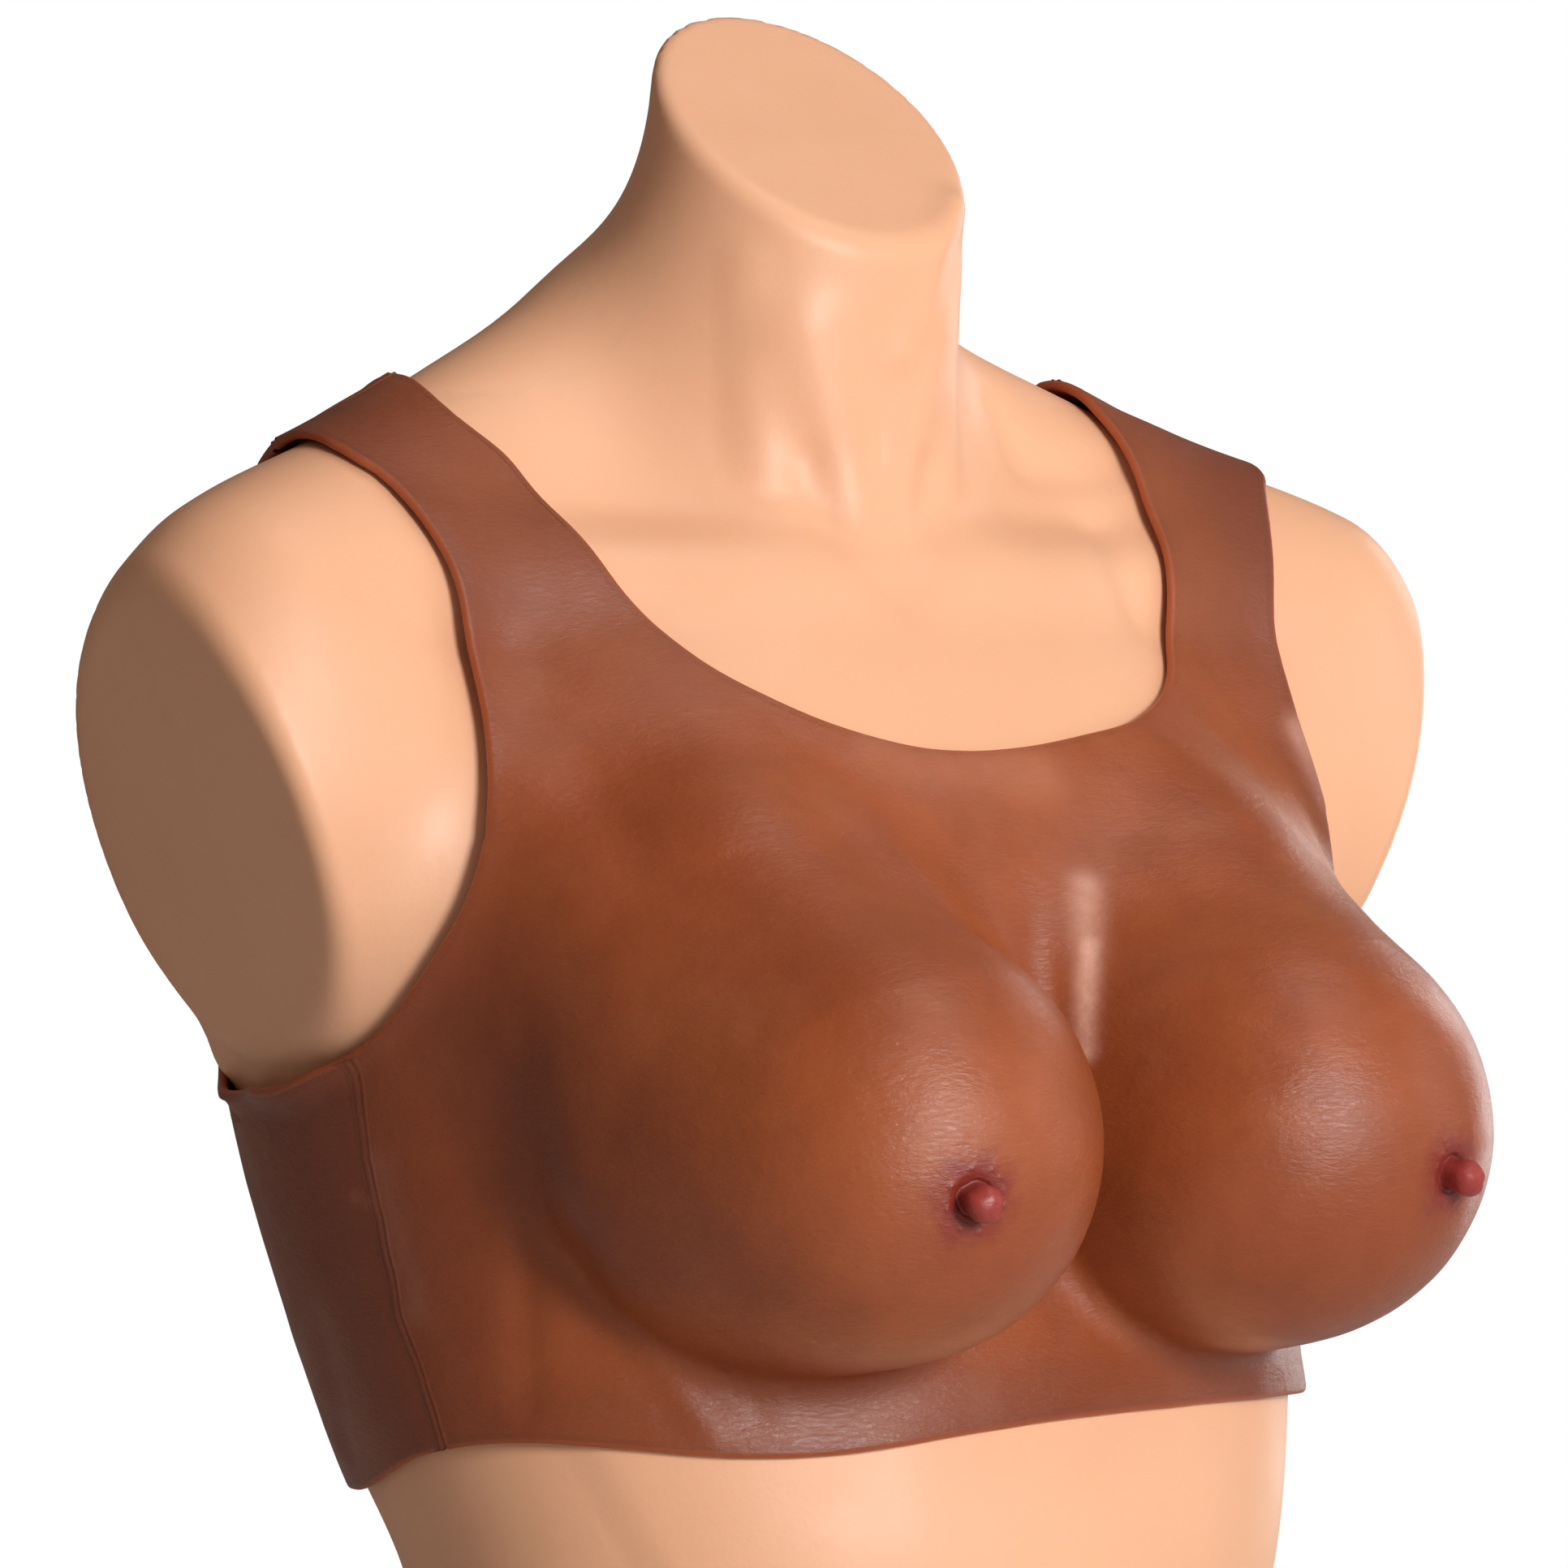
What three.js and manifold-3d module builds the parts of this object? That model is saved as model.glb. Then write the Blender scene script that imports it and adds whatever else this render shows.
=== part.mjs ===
// Display torso with a silicone breast-form vest over it and a stand socket in its hollow base.
// Units are millimetres. +Z is up, the front of the torso faces -Y and its left side is at +X.
import * as THREE from "three";
import { mergeVertices } from "three/addons/utils/BufferGeometryUtils.js";
import Module from "manifold-3d";

const wasm = await Module();
wasm.setup();

// ---- Driving dimensions -------------------------------------------------------------------

// The torso is drawn about its own axis. This moves it to the middle of the overall depth.
const FRAME_Y = 37;

// Trunk sections: height, half width, half depth, centre y, and the exponent of the oval.
const TRUNK = [
  [-40, 128, 98, -6, 2.2],
  [0, 118, 90, -14, 2.2],
  [65, 106.5, 80, -25, 2.2],
  [139, 120.3, 93, -26, 2.2],
  [180, 131, 101, -13, 2.25],
  [259, 144.5, 106.5, 8.5, 2.3],
  [320, 152, 104, 8, 2.3],
  [370, 138, 82, 12, 2.3],
  [415, 104, 56, 18, 2.2],
  [450, 62, 42, 26, 2],
];
const TRUNK_TOP = 425;
const TRUNK_TOP_BLEND = 30;

// Neck: an oval tube that leans forward and is cut by a sloping plane.
const NECK = { y: -10, z: 523.5, lean: 11, halfWidth: 43.5, halfDepth: 42, flare: 0.15, face: 42 };

// Arm stumps: oval tubes that open outwards and are cut by a plane leaning under the shoulder.
const STUMP = {
  y: 12,
  z: 335,
  halfDepth: 55.5,
  halfHeight: 64,
  grow: 0.06,
  turn: 17,
  start: -50,
  blend: 32,
  blendBelow: 12,
};
const ARM_CUT = { x: 202, z: 400, lean: 22, nearest: 146.5 };

// Muscles and bones as rounded cones: end, end, radius, radius, blend. They repeat on both sides.
const RIDGES = [
  { from: [34, 44, 458], to: [172, -5, 398], r0: 22, r1: 22, blend: 55 },
  { from: [10, 48, 430], to: [120, 40, 390], r0: 30, r1: 26, blend: 30 },
  { from: [16, -42, 400], to: [150, -12, 400], r0: 6, r1: 8, blend: 18 },
  { from: [9, -44, 404], to: [38, -6, 500], r0: 6, r1: 8, blend: 14 },
];

// Walls and gaps.
const SHELL_WALL = 4;
const RIM_LIP_HEIGHT = 5;
const RIM_LIP_WIDTH = 16;
const GAP = 0.3;

// Line where the two torso halves meet, seen from the side: y, z.
const PARTING = [
  [-14, -20],
  [-22, 65],
  [-24, 139],
  [-13, 180],
  [6, 259],
  [8, 330],
  [10, 400],
  [4, 450],
  [-10, 490],
  [-11.5, 520],
  [-11.5, 620],
];

// Breasts: a forward ball, a wide root and a sloping upper part, one side; the other mirrors it.
const BUST = {
  ball: { at: [62, -129, 257], r: [56, 58.5, 54.5], turn: 9 },
  root: { at: [68, -92, 260], r: [62, 34, 59], blend: 28 },
  slope: { from: [74, -82, 316], to: [66, -112, 268], r0: 30, r1: 43, blend: 34 },
  cleavage: 12,
};
const BUST_FOLD_BLEND = 9;
const BUST_TOP_BLEND = 22;

// Vest skin.
const VEST_OUTER = 3.5;
const VEST_FIT = 0.5;
const BREAST_SKIN = 3;
const BACKING = 1.1;
const SEAM_HALF = 1.6;
const SEAM_RAISE = 0.8;

// Neckline of the vest: x, z. It sits a little lower and straighter on the right.
const NECKLINE_FRONT = [
  [-110, 470],
  [-110, 446],
  [-98, 432],
  [-89, 414],
  [-80, 397],
  [-66, 379],
  [-45, 366.5],
  [-21, 359],
  [0, 357],
  [20, 358],
  [42, 361.5],
  [64, 366],
  [82, 374],
  [94, 388],
  [99, 406],
  [104, 430],
  [103, 450],
  [103, 470],
];
const NECKLINE_BACK = [
  [-110, 470],
  [-109, 446],
  [-98, 422],
  [-78, 402],
  [-45, 390],
  [0, 386],
  [45, 390],
  [76, 402],
  [94, 422],
  [103, 446],
  [103, 470],
];
const NECKLINE_SPLIT_Y = 12;

// Armhole of the vest, seen from the front: distance from the middle, z. The left strap sits wider.
const ARMHOLE_FRONT = [
  [151, 480],
  [149, 440],
  [138, 426],
  [131, 411],
  [126.5, 390],
  [127, 368],
  [131, 348],
  [137, 328],
  [143.5, 307],
  [147, 295],
  [150, 284],
  [152.5, 274],
  [157, 269],
  [168, 267.5],
  [190, 267.5],
];
const ARMHOLE_BACK = [
  [151, 480],
  [149, 440],
  [140, 422],
  [133, 403],
  [128, 382],
  [127, 358],
  [131, 332],
  [137, 307],
  [142, 291],
  [146, 279],
  [152, 270],
  [165, 267.5],
  [190, 267.5],
];
const ARMHOLE_LEFT_SHIFT = 8;
// How far the vest reaches past the arm faces under the arms.
const VEST_LIP = 1.5;
const VEST_SIDE = 150;

// Lower edge of the vest: y, z. It drops towards the back and to the right.
const HEM = [
  [-210, 183],
  [-110, 183],
  [-80, 184],
  [-38, 182.5],
  [-22, 179],
  [-2, 172],
  [10, 168],
  [30, 164],
  [62, 161.5],
  [140, 160],
];
const HEM_ROLL = 2;

// Seams between the vest's front and back panels: y, z.
const VEST_SPLIT = [
  [-47, 130],
  [-38, 178],
  [-33, 196],
  [-26.5, 212],
  [-22.5, 235],
  [-20.5, 279],
  [0, 345],
  [22, 400],
  [22, 500],
];
const SHOULDER_SEAM_Z = 380;

// Nipples: place on the skin, direction, and the outline of the casting (radius, height).
const NIPPLE = { at: [78, -185.4, 247], towards: [0.26, -0.95, -0.17], recessR: 10.3, recessDepth: 1.5 };
const NIPPLE_PROFILE = [
  [0, -1.2],
  [10, -1.2],
  [10, -0.1],
  [7.4, 0.7],
  [5.4, 1.6],
  [4.5, 3],
  [4.8, 5.6],
  [4, 7.4],
  [2.2, 8.3],
  [0, 8.5],
];

// Base plate, held by four screws through the shell wall.
const PLATE = { bottom: 45, top: 57, axisY: -14 };
const BASE_SCREW = { r: 1.75, length: 22, headR: 3.6, headH: 2.2, angles: [40, 140, 220, 320] };

// Stand flange under the plate, with a collar for a 22 mm pole.
const FLANGE = { r: 38, thick: 4, collarR: 15, boreR: 11.1, bottom: 6, bossR: 8.5, bossEnd: 24, bossZ: 22 };
const FLANGE_SCREW = { r: 1.9, length: 12, headR: 3.8, headH: 2.4, circleR: 29, angles: [45, 135, 225, 315] };

// Clamp screw, M8, along +Y from the pole's axis.
const CLAMP = { r: 4, boreR: 4.06, travel: 4, padR: 3.7, padFront: 11.3, padLength: 2.3 };
const KNOB = { r: 12, lobe: 1.8, lobes: 5, thick: 11, holeR: 4.15, holeDepth: 9.5, clear: 4.6 };

// Mesh cell sizes.
const TORSO_CELL = 23;
const VEST_CELL = 15;
const ROUND = 24;
const SMALL_ROUND = 12;

// ---- Materials ----------------------------------------------------------------------------

function material(color, roughness, metalness = 0) {
  return new THREE.MeshStandardMaterial({ color, roughness, metalness });
}
const PLASTIC = { color: 0xeebb96, roughness: 0.42 };
const SILICONE = { color: 0x8f4f33, roughness: 0.48 };
const NIPPLE_LOOK = { color: 0x8a3a2c, roughness: 0.5 };
const GEL = { color: 0xb98a6c, roughness: 0.3 };
const BOARD = { color: 0xa8845c, roughness: 0.8 };
const STEEL = { color: 0xb4b6b8, roughness: 0.35, metalness: 0.9 };
const BLACK_PLASTIC = { color: 0x1c1c1e, roughness: 0.5 };
const BRASS = { color: 0xb8944a, roughness: 0.4, metalness: 0.9 };

// ---- Fields: negative inside, positive outside ----------------------------------------------

const radians = THREE.MathUtils.degToRad;

function smoothMin(a, b, k) {
  const h = THREE.MathUtils.clamp(0.5 + (0.5 * (b - a)) / k, 0, 1);
  return b * (1 - h) + a * h - k * h * (1 - h);
}

function smoothMax(a, b, k) {
  return -smoothMin(-a, -b, k);
}

function ellipsoid(p, at, r) {
  const q = p.map((v, i) => (v - at[i]) / r[i]);
  const length = Math.hypot(...q);
  const slope = Math.hypot(...q.map((v, i) => v / r[i]));
  return slope < 1e-9 ? -Math.min(...r) : (length * (length - 1)) / slope;
}

function roundedCone(p, from, to, r0, r1) {
  const axis = to.map((v, i) => v - from[i]);
  const rel = p.map((v, i) => v - from[i]);
  const along = rel.reduce((s, v, i) => s + v * axis[i], 0);
  const t = THREE.MathUtils.clamp(along / axis.reduce((s, v) => s + v * v, 0), 0, 1);
  return Math.hypot(...rel.map((v, i) => v - axis[i] * t)) - (r0 + (r1 - r0) * t);
}

// Value of column k of a table at height z: a smooth curve through the rows.
function sectionValue(rows, z, k) {
  const at = THREE.MathUtils.clamp(z, rows[0][0], rows[rows.length - 1][0]);
  let i = rows.findIndex((row) => row[0] >= at);
  i = Math.max(i, 1);
  const slope = (a, b) => (rows[b][k] - rows[a][k]) / (rows[b][0] - rows[a][0]);
  const tangent = (j) => slope(Math.max(j - 1, 0), Math.min(j + 1, rows.length - 1));
  const h = rows[i][0] - rows[i - 1][0];
  const t = (at - rows[i - 1][0]) / h;
  const rise = rows[i][k] - rows[i - 1][k];
  const m0 = tangent(i - 1) * h;
  const m1 = tangent(i) * h;
  return rows[i - 1][k] + t * (m0 + t * (3 * rise - 2 * m0 - m1 + t * (m0 + m1 - 2 * rise)));
}

function trunk([x, y, z]) {
  const [a, b, c, n] = [1, 2, 3, 4].map((k) => sectionValue(TRUNK, z, k));
  const oval = Math.pow(Math.pow(Math.abs(x / a), n) + Math.pow(Math.abs((y - c) / b), n), 1 / n);
  return smoothMax((oval - 1) * Math.min(a, b), z - TRUNK_TOP, TRUNK_TOP_BLEND);
}

function neck([x, y, z]) {
  const a = radians(NECK.lean);
  const across = Math.cos(a) * (y - NECK.y) + Math.sin(a) * (z - NECK.z);
  const up = -Math.sin(a) * (y - NECK.y) + Math.cos(a) * (z - NECK.z);
  const down = THREE.MathUtils.clamp(-up, 0, 140);
  const wide = NECK.halfWidth + down * 0.03 + Math.max(down - 60, 0) * NECK.flare;
  const deep = NECK.halfDepth + down * 0.05;
  return smoothMax((Math.hypot(x / wide, across / deep) - 1) * wide, -150 - up, 20);
}

function stump([x, y, z]) {
  const lean = radians(ARM_CUT.lean);
  const face = ARM_CUT.x - (ARM_CUT.z - STUMP.z) * Math.tan(lean);
  const out = (x - face) * Math.cos(lean) - (z - STUMP.z) * Math.sin(lean);
  const up = (x - face) * Math.sin(lean) + (z - STUMP.z) * Math.cos(lean);
  const turn = radians(STUMP.turn);
  const w = (y - STUMP.y) * Math.cos(turn) + up * Math.sin(turn);
  const v = -(y - STUMP.y) * Math.sin(turn) + up * Math.cos(turn);
  const inward = THREE.MathUtils.clamp(-out, 0, 90);
  const rw = STUMP.halfDepth - STUMP.grow * inward;
  const rv = STUMP.halfHeight + STUMP.grow * inward;
  return smoothMax((Math.hypot(w / rw, v / rv) - 1) * rw, STUMP.start - out, 40);
}

function torsoField([x, y, z]) {
  const p = [Math.abs(x), y, z];
  let d = smoothMin(trunk(p), neck(p), 26);
  d = smoothMin(d, roundedCone(p, RIDGES[0].from, RIDGES[0].to, RIDGES[0].r0, RIDGES[0].r1), RIDGES[0].blend);
  d = smoothMin(d, roundedCone(p, RIDGES[1].from, RIDGES[1].to, RIDGES[1].r0, RIDGES[1].r1), RIDGES[1].blend);
  const shoulder = THREE.MathUtils.smoothstep(z, 265, 320);
  d = smoothMin(d, stump(p), STUMP.blendBelow + (STUMP.blend - STUMP.blendBelow) * shoulder);
  for (const ridge of RIDGES.slice(2)) {
    d = smoothMin(d, roundedCone(p, ridge.from, ridge.to, ridge.r0, ridge.r1), ridge.blend);
  }
  return d;
}

function breast([x, y, z], side) {
  const p = [x * side, y, z];
  const turn = radians(BUST.ball.turn);
  const [dx, dy] = [p[0] - BUST.ball.at[0], y - BUST.ball.at[1]];
  const turned = [dx * Math.cos(turn) + dy * Math.sin(turn), -dx * Math.sin(turn) + dy * Math.cos(turn)];
  const ball = ellipsoid([...turned, z - BUST.ball.at[2]], [0, 0, 0], BUST.ball.r);
  const root = ellipsoid(p, BUST.root.at, BUST.root.r);
  const slope = roundedCone(p, BUST.slope.from, BUST.slope.to, BUST.slope.r0, BUST.slope.r1);
  return smoothMin(smoothMin(ball, root, BUST.root.blend), slope, BUST.slope.blend);
}

function vestField(p) {
  const bust = smoothMin(breast(p, 1), breast(p, -1), BUST.cleavage);
  const t = THREE.MathUtils.smoothstep(p[2], 215, 305);
  return smoothMin(torsoField(p) - VEST_OUTER, bust, BUST_FOLD_BLEND + t * BUST_TOP_BLEND);
}

// Room inside one breast: under the skin and within the outline of the gel pocket.
function pocketField([x, y, z], side) {
  const outline = (Math.hypot((x * side - 67) / 55, (z - 264) / 61) - 1) * 55;
  const skin = vestField([x, y, z]) + BREAST_SKIN;
  return Math.max(skin, outline, y + 20);
}

// ---- Meshing and solids -----------------------------------------------------------------------

function gradient(field, p) {
  const h = 0.05;
  return [0, 1, 2].map((i) => {
    const [a, b] = [[...p], [...p]];
    a[i] += h;
    b[i] -= h;
    return (field(a) - field(b)) / (2 * h);
  });
}

function unit(v) {
  const length = Math.hypot(...v) || 1;
  return v.map((c) => c / length);
}

function pullToSurface(field, p, reach) {
  let q = [...p];
  for (let i = 0; i < 5; i++) {
    const g = gradient(field, q);
    const g2 = g.reduce((s, c) => s + c * c, 0) || 1;
    const step = THREE.MathUtils.clamp(field(q) / Math.sqrt(g2), -reach, reach);
    q = q.map((c, k) => c - (step * g[k]) / Math.sqrt(g2));
  }
  return q;
}

// Cells of a grid that the surface crosses, one vertex each, joined into quads.
function surfaceNet(field, from, high, cell) {
  const low = from.map((v) => v - cell);
  const n = low.map((v, i) => Math.ceil((high[i] - v) / cell) + 1);
  const at = (i, j, k) => (k * n[1] + j) * n[0] + i;
  const place = (i, j, k) => [low[0] + i * cell, low[1] + j * cell, low[2] + k * cell];
  const value = new Float64Array(n[0] * n[1] * n[2]);
  for (let k = 0; k < n[2]; k++)
    for (let j = 0; j < n[1]; j++)
      for (let i = 0; i < n[0]; i++) value[at(i, j, k)] = field(place(i, j, k));

  const corners = [0, 1, 2, 3, 4, 5, 6, 7].map((c) => [c & 1, (c >> 1) & 1, c >> 2]);
  const edges = [];
  corners.forEach((a, i) =>
    corners.forEach((b, j) => {
      if (j > i && Math.abs(a[0] - b[0]) + Math.abs(a[1] - b[1]) + Math.abs(a[2] - b[2]) === 1) edges.push([i, j]);
    }),
  );

  const points = [];
  const owner = new Int32Array(value.length).fill(-1);
  for (let k = 0; k < n[2] - 1; k++)
    for (let j = 0; j < n[1] - 1; j++)
      for (let i = 0; i < n[0] - 1; i++) {
        const v = corners.map((c) => value[at(i + c[0], j + c[1], k + c[2])]);
        const sum = [0, 0, 0];
        let count = 0;
        for (const [a, b] of edges) {
          if (v[a] < 0 === v[b] < 0) continue;
          const t = v[a] / (v[a] - v[b]);
          sum.forEach((_, m) => (sum[m] += corners[a][m] + t * (corners[b][m] - corners[a][m])));
          count++;
        }
        if (!count) continue;
        owner[at(i, j, k)] = points.length;
        points.push(place(i + sum[0] / count, j + sum[1] / count, k + sum[2] / count));
      }

  const index = [];
  const step = [
    [1, 0, 0],
    [0, 1, 0],
    [0, 0, 1],
  ];
  for (let k = 1; k < n[2] - 1; k++)
    for (let j = 1; j < n[1] - 1; j++)
      for (let i = 1; i < n[0] - 1; i++)
        step.forEach((s, axis) => {
          const inside = value[at(i, j, k)] < 0;
          if (inside === value[at(i + s[0], j + s[1], k + s[2])] < 0) return;
          const [u, w] = [step[(axis + 1) % 3], step[(axis + 2) % 3]];
          const quad = [
            owner[at(i, j, k)],
            owner[at(i - u[0], j - u[1], k - u[2])],
            owner[at(i - u[0] - w[0], j - u[1] - w[1], k - u[2] - w[2])],
            owner[at(i - w[0], j - w[1], k - w[2])],
          ];
          if (!inside) quad.reverse();
          index.push(quad[0], quad[1], quad[2], quad[0], quad[2], quad[3]);
        });

  const settled = points.map((p) => pullToSurface(field, p, cell / 4));
  return { points: settled, index, normals: settled.map((p) => unit(gradient(field, p))) };
}

// A net as a solid, moved outwards along its normals by an offset.
function netSolid(net, offset = 0) {
  const moved = net.points.flatMap((p, i) => p.map((c, k) => c + net.normals[i][k] * offset));
  return new wasm.Manifold(
    new wasm.Mesh({
      numProp: 3,
      vertProperties: new Float32Array(moved),
      triVerts: new Uint32Array(net.index),
    }),
  );
}

// A three.js geometry as a solid.
function solid(geometry) {
  const bare = new THREE.BufferGeometry();
  bare.setAttribute("position", geometry.getAttribute("position"));
  bare.setIndex(geometry.getIndex());
  const merged = mergeVertices(bare, 1e-4);
  const all = merged.getIndex().array;
  const kept = [];
  for (let i = 0; i < all.length; i += 3) {
    const [a, b, c] = [all[i], all[i + 1], all[i + 2]];
    if (a !== b && b !== c && c !== a) kept.push(a, b, c);
  }
  const made = new wasm.Manifold(
    new wasm.Mesh({
      numProp: 3,
      vertProperties: new Float32Array(merged.getAttribute("position").array),
      triVerts: new Uint32Array(kept),
    }),
  );
  return made;
}

function mesh(name, body, look) {
  const data = body.getMesh();
  const geometry = new THREE.BufferGeometry();
  geometry.setAttribute("position", new THREE.BufferAttribute(new Float32Array(data.vertProperties), 3));
  geometry.setIndex(new THREE.BufferAttribute(new Uint32Array(data.triVerts), 1));
  geometry.computeVertexNormals();
  const made = new THREE.Mesh(geometry, material(look.color, look.roughness, look.metalness));
  made.name = name;
  return made;
}

function outline(points) {
  return new THREE.Shape(points.map(([a, b]) => new THREE.Vector2(a, b)));
}

function smoothLine(points, count) {
  return new THREE.SplineCurve(points.map(([a, b]) => new THREE.Vector2(a, b))).getPoints(count);
}

function smoothPoints(points, count) {
  return smoothLine(points, count).map((v) => [v.x, v.y]);
}

// A closed outline in the x-z plane, from y0 to y1.
function prismAlongY(points, y0, y1) {
  const geometry = new THREE.ExtrudeGeometry(outline(points), { depth: y1 - y0, bevelEnabled: false });
  geometry.rotateX(Math.PI / 2);
  geometry.translate(0, y1, 0);
  return geometry;
}

// A closed outline in the y-z plane, from x0 to x1.
function prismAlongX(points, x0, x1) {
  const geometry = new THREE.ExtrudeGeometry(outline(points), { depth: x1 - x0, bevelEnabled: false });
  geometry.applyMatrix4(
    new THREE.Matrix4().makeBasis(
      new THREE.Vector3(0, 1, 0),
      new THREE.Vector3(0, 0, 1),
      new THREE.Vector3(1, 0, 0),
    ),
  );
  geometry.translate(x0, 0, 0);
  return geometry;
}

// A band of the y-z plane between two shifts of a line, from x0 to x1.
function bandAlongX(line, from, to, x0, x1) {
  const there = line.map(([y, z]) => [y + from, z]);
  const back = line.map(([y, z]) => [y + to, z]).reverse();
  return solid(prismAlongX([...there, ...back], x0, x1));
}

function slab(z0, z1) {
  const geometry = new THREE.BoxGeometry(600, 600, z1 - z0);
  geometry.translate(0, 0, (z0 + z1) / 2);
  return solid(geometry);
}

// Everything beyond a plane through a point, on the side its normal points to.
function beyond(point, normal, back = 0) {
  const geometry = new THREE.BoxGeometry(400, 400, 400);
  geometry.translate(0, 0, 200 - back);
  const turn = new THREE.Quaternion().setFromUnitVectors(new THREE.Vector3(0, 0, 1), normal);
  geometry.applyQuaternion(turn);
  geometry.translate(...point);
  return solid(geometry);
}

// A cylinder from one point along a direction.
function rod(from, towards, r, length, segments = ROUND) {
  const geometry = new THREE.CylinderGeometry(r, r, length, segments);
  geometry.rotateX(Math.PI / 2);
  geometry.translate(0, 0, length / 2);
  const turn = new THREE.Quaternion().setFromUnitVectors(
    new THREE.Vector3(0, 0, 1),
    new THREE.Vector3(...towards).normalize(),
  );
  geometry.applyQuaternion(turn);
  geometry.translate(...from);
  return solid(geometry);
}

function turned(profile, segments = ROUND) {
  const geometry = new THREE.LatheGeometry(
    profile.map(([r, h]) => new THREE.Vector2(r, h)),
    segments,
  );
  geometry.rotateX(Math.PI / 2);
  return geometry;
}

function cutAll(body, tools) {
  return tools.reduce((left, tool) => left.subtract(tool), body);
}

// ---- Torso ------------------------------------------------------------------------------------

// The torso's surface, running on past its cut faces to a closed end.
const torsoNet = surfaceNet(
  (p) => Math.max(torsoField(p), Math.abs(p[0]) - 232, p[2] - 590, -45 - p[2]),
  [-247, -153, -76],
  [247, 153, 621],
  TORSO_CELL,
);

// Beyond the arm faces, which end where the stumps meet the sides of the trunk.
function armPlanes(back, nearest) {
  const lean = radians(ARM_CUT.lean);
  return [1, -1].map((side) => {
    const normal = new THREE.Vector3(Math.cos(lean) * side, 0, -Math.sin(lean));
    const sideways = new THREE.Vector3(side, 0, 0);
    return beyond([ARM_CUT.x * side, 0, ARM_CUT.z], normal, back).intersect(
      beyond([nearest * side, 0, ARM_CUT.z], sideways, back),
    );
  });
}

function facePlanes(back) {
  const tilt = radians(NECK.face);
  return [
    beyond([0, NECK.y, NECK.z], new THREE.Vector3(0, -Math.sin(tilt), Math.cos(tilt)), back),
    ...armPlanes(back, ARM_CUT.nearest),
  ];
}

function torsoShell() {
  const outer = cutAll(netSolid(torsoNet), [...facePlanes(0), slab(-90, 0)]);
  const inner = cutAll(netSolid(torsoNet, -SHELL_WALL), [...facePlanes(SHELL_WALL), slab(-90, RIM_LIP_HEIGHT)]);
  const mouth = netSolid(torsoNet, -RIM_LIP_WIDTH).intersect(slab(-20, RIM_LIP_HEIGHT + 1));
  return cutAll(outer, [inner, mouth]);
}

// ---- Base plate and its screws ------------------------------------------------------------------

function baseScrewPlaces() {
  const z = (PLATE.bottom + PLATE.top) / 2;
  return BASE_SCREW.angles.map((angle) => {
    const [c, s] = [Math.cos(radians(angle)), Math.sin(radians(angle))];
    let r = 60;
    while (torsoField([r * c, PLATE.axisY + r * s, z]) < 0) r += 0.05;
    const at = [r * c, PLATE.axisY + r * s, z];
    return { at, out: unit(gradient(torsoField, at)) };
  });
}

function screwGeometry(size) {
  return turned(
    [
      [0, -size.length],
      [size.r, -size.length + size.r],
      [size.r, 0],
      [size.headR, 0],
      [size.headR, size.headH * 0.45],
      [size.headR * 0.7, size.headH * 0.9],
      [0, size.headH],
    ],
    SMALL_ROUND,
  );
}

function crossRecess(size) {
  const depth = size.headH * 0.6;
  const bar = new THREE.BoxGeometry(size.headR * 1.1, 0.9, depth);
  bar.translate(0, 0, size.headH - depth / 2 + 0.2);
  const other = bar.clone();
  other.rotateZ(Math.PI / 2);
  return solid(bar).add(solid(other));
}

function screw(name, size, at, out) {
  const body = solid(screwGeometry(size)).subtract(crossRecess(size));
  const made = mesh(name, body, STEEL);
  const axis = new THREE.Vector3(...out);
  made.quaternion.setFromUnitVectors(new THREE.Vector3(0, 0, 1), axis);
  made.position.set(...at).addScaledVector(axis, GAP);
  return made;
}

function holesFor(places, size, extra) {
  return places.map(({ at, out }) => {
    const length = size.length + 20;
    const from = at.map((c, i) => c - out[i] * (size.length + 1));
    return rod(from, out, size.r + extra, length, SMALL_ROUND);
  });
}

function flangeScrewPlaces() {
  return FLANGE_SCREW.angles.map((angle) => ({
    at: [
      FLANGE_SCREW.circleR * Math.cos(radians(angle)),
      PLATE.axisY + FLANGE_SCREW.circleR * Math.sin(radians(angle)),
      PLATE.bottom - GAP - FLANGE.thick,
    ],
    out: [0, 0, -1],
  }));
}

function basePlate() {
  const blank = netSolid(torsoNet, -SHELL_WALL - GAP).intersect(slab(PLATE.bottom, PLATE.top));
  return cutAll(blank, [
    ...holesFor(baseScrewPlaces(), BASE_SCREW, GAP),
    ...holesFor(flangeScrewPlaces(), FLANGE_SCREW, GAP),
  ]);
}

// ---- Stand flange and clamp ------------------------------------------------------------------------

function standFlange() {
  const top = PLATE.bottom - GAP;
  const turnedBody = solid(
    turned(
      [
        [FLANGE.boreR, FLANGE.bottom],
        [FLANGE.collarR, FLANGE.bottom],
        [FLANGE.collarR, top - FLANGE.thick - 2],
        [FLANGE.collarR + 2, top - FLANGE.thick],
        [FLANGE.r, top - FLANGE.thick],
        [FLANGE.r, top],
        [FLANGE.boreR, top],
        [FLANGE.boreR, FLANGE.bottom],
      ],
      36,
    ),
  );
  const boss = rod([0, 12.5, FLANGE.bossZ], [0, 1, 0], FLANGE.bossR, FLANGE.bossEnd - 12.5);
  const tap = rod([0, 6, FLANGE.bossZ], [0, 1, 0], CLAMP.boreR, FLANGE.bossEnd);
  const places = flangeScrewPlaces().map(({ at, out }) => ({ at: [at[0], at[1] - PLATE.axisY, at[2]], out }));
  return cutAll(turnedBody.add(boss), [tap, ...holesFor(places, FLANGE_SCREW, GAP)]);
}

function clampPad() {
  return rod([0, 0, 0], [0, 1, 0], CLAMP.padR, CLAMP.padLength);
}

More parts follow.
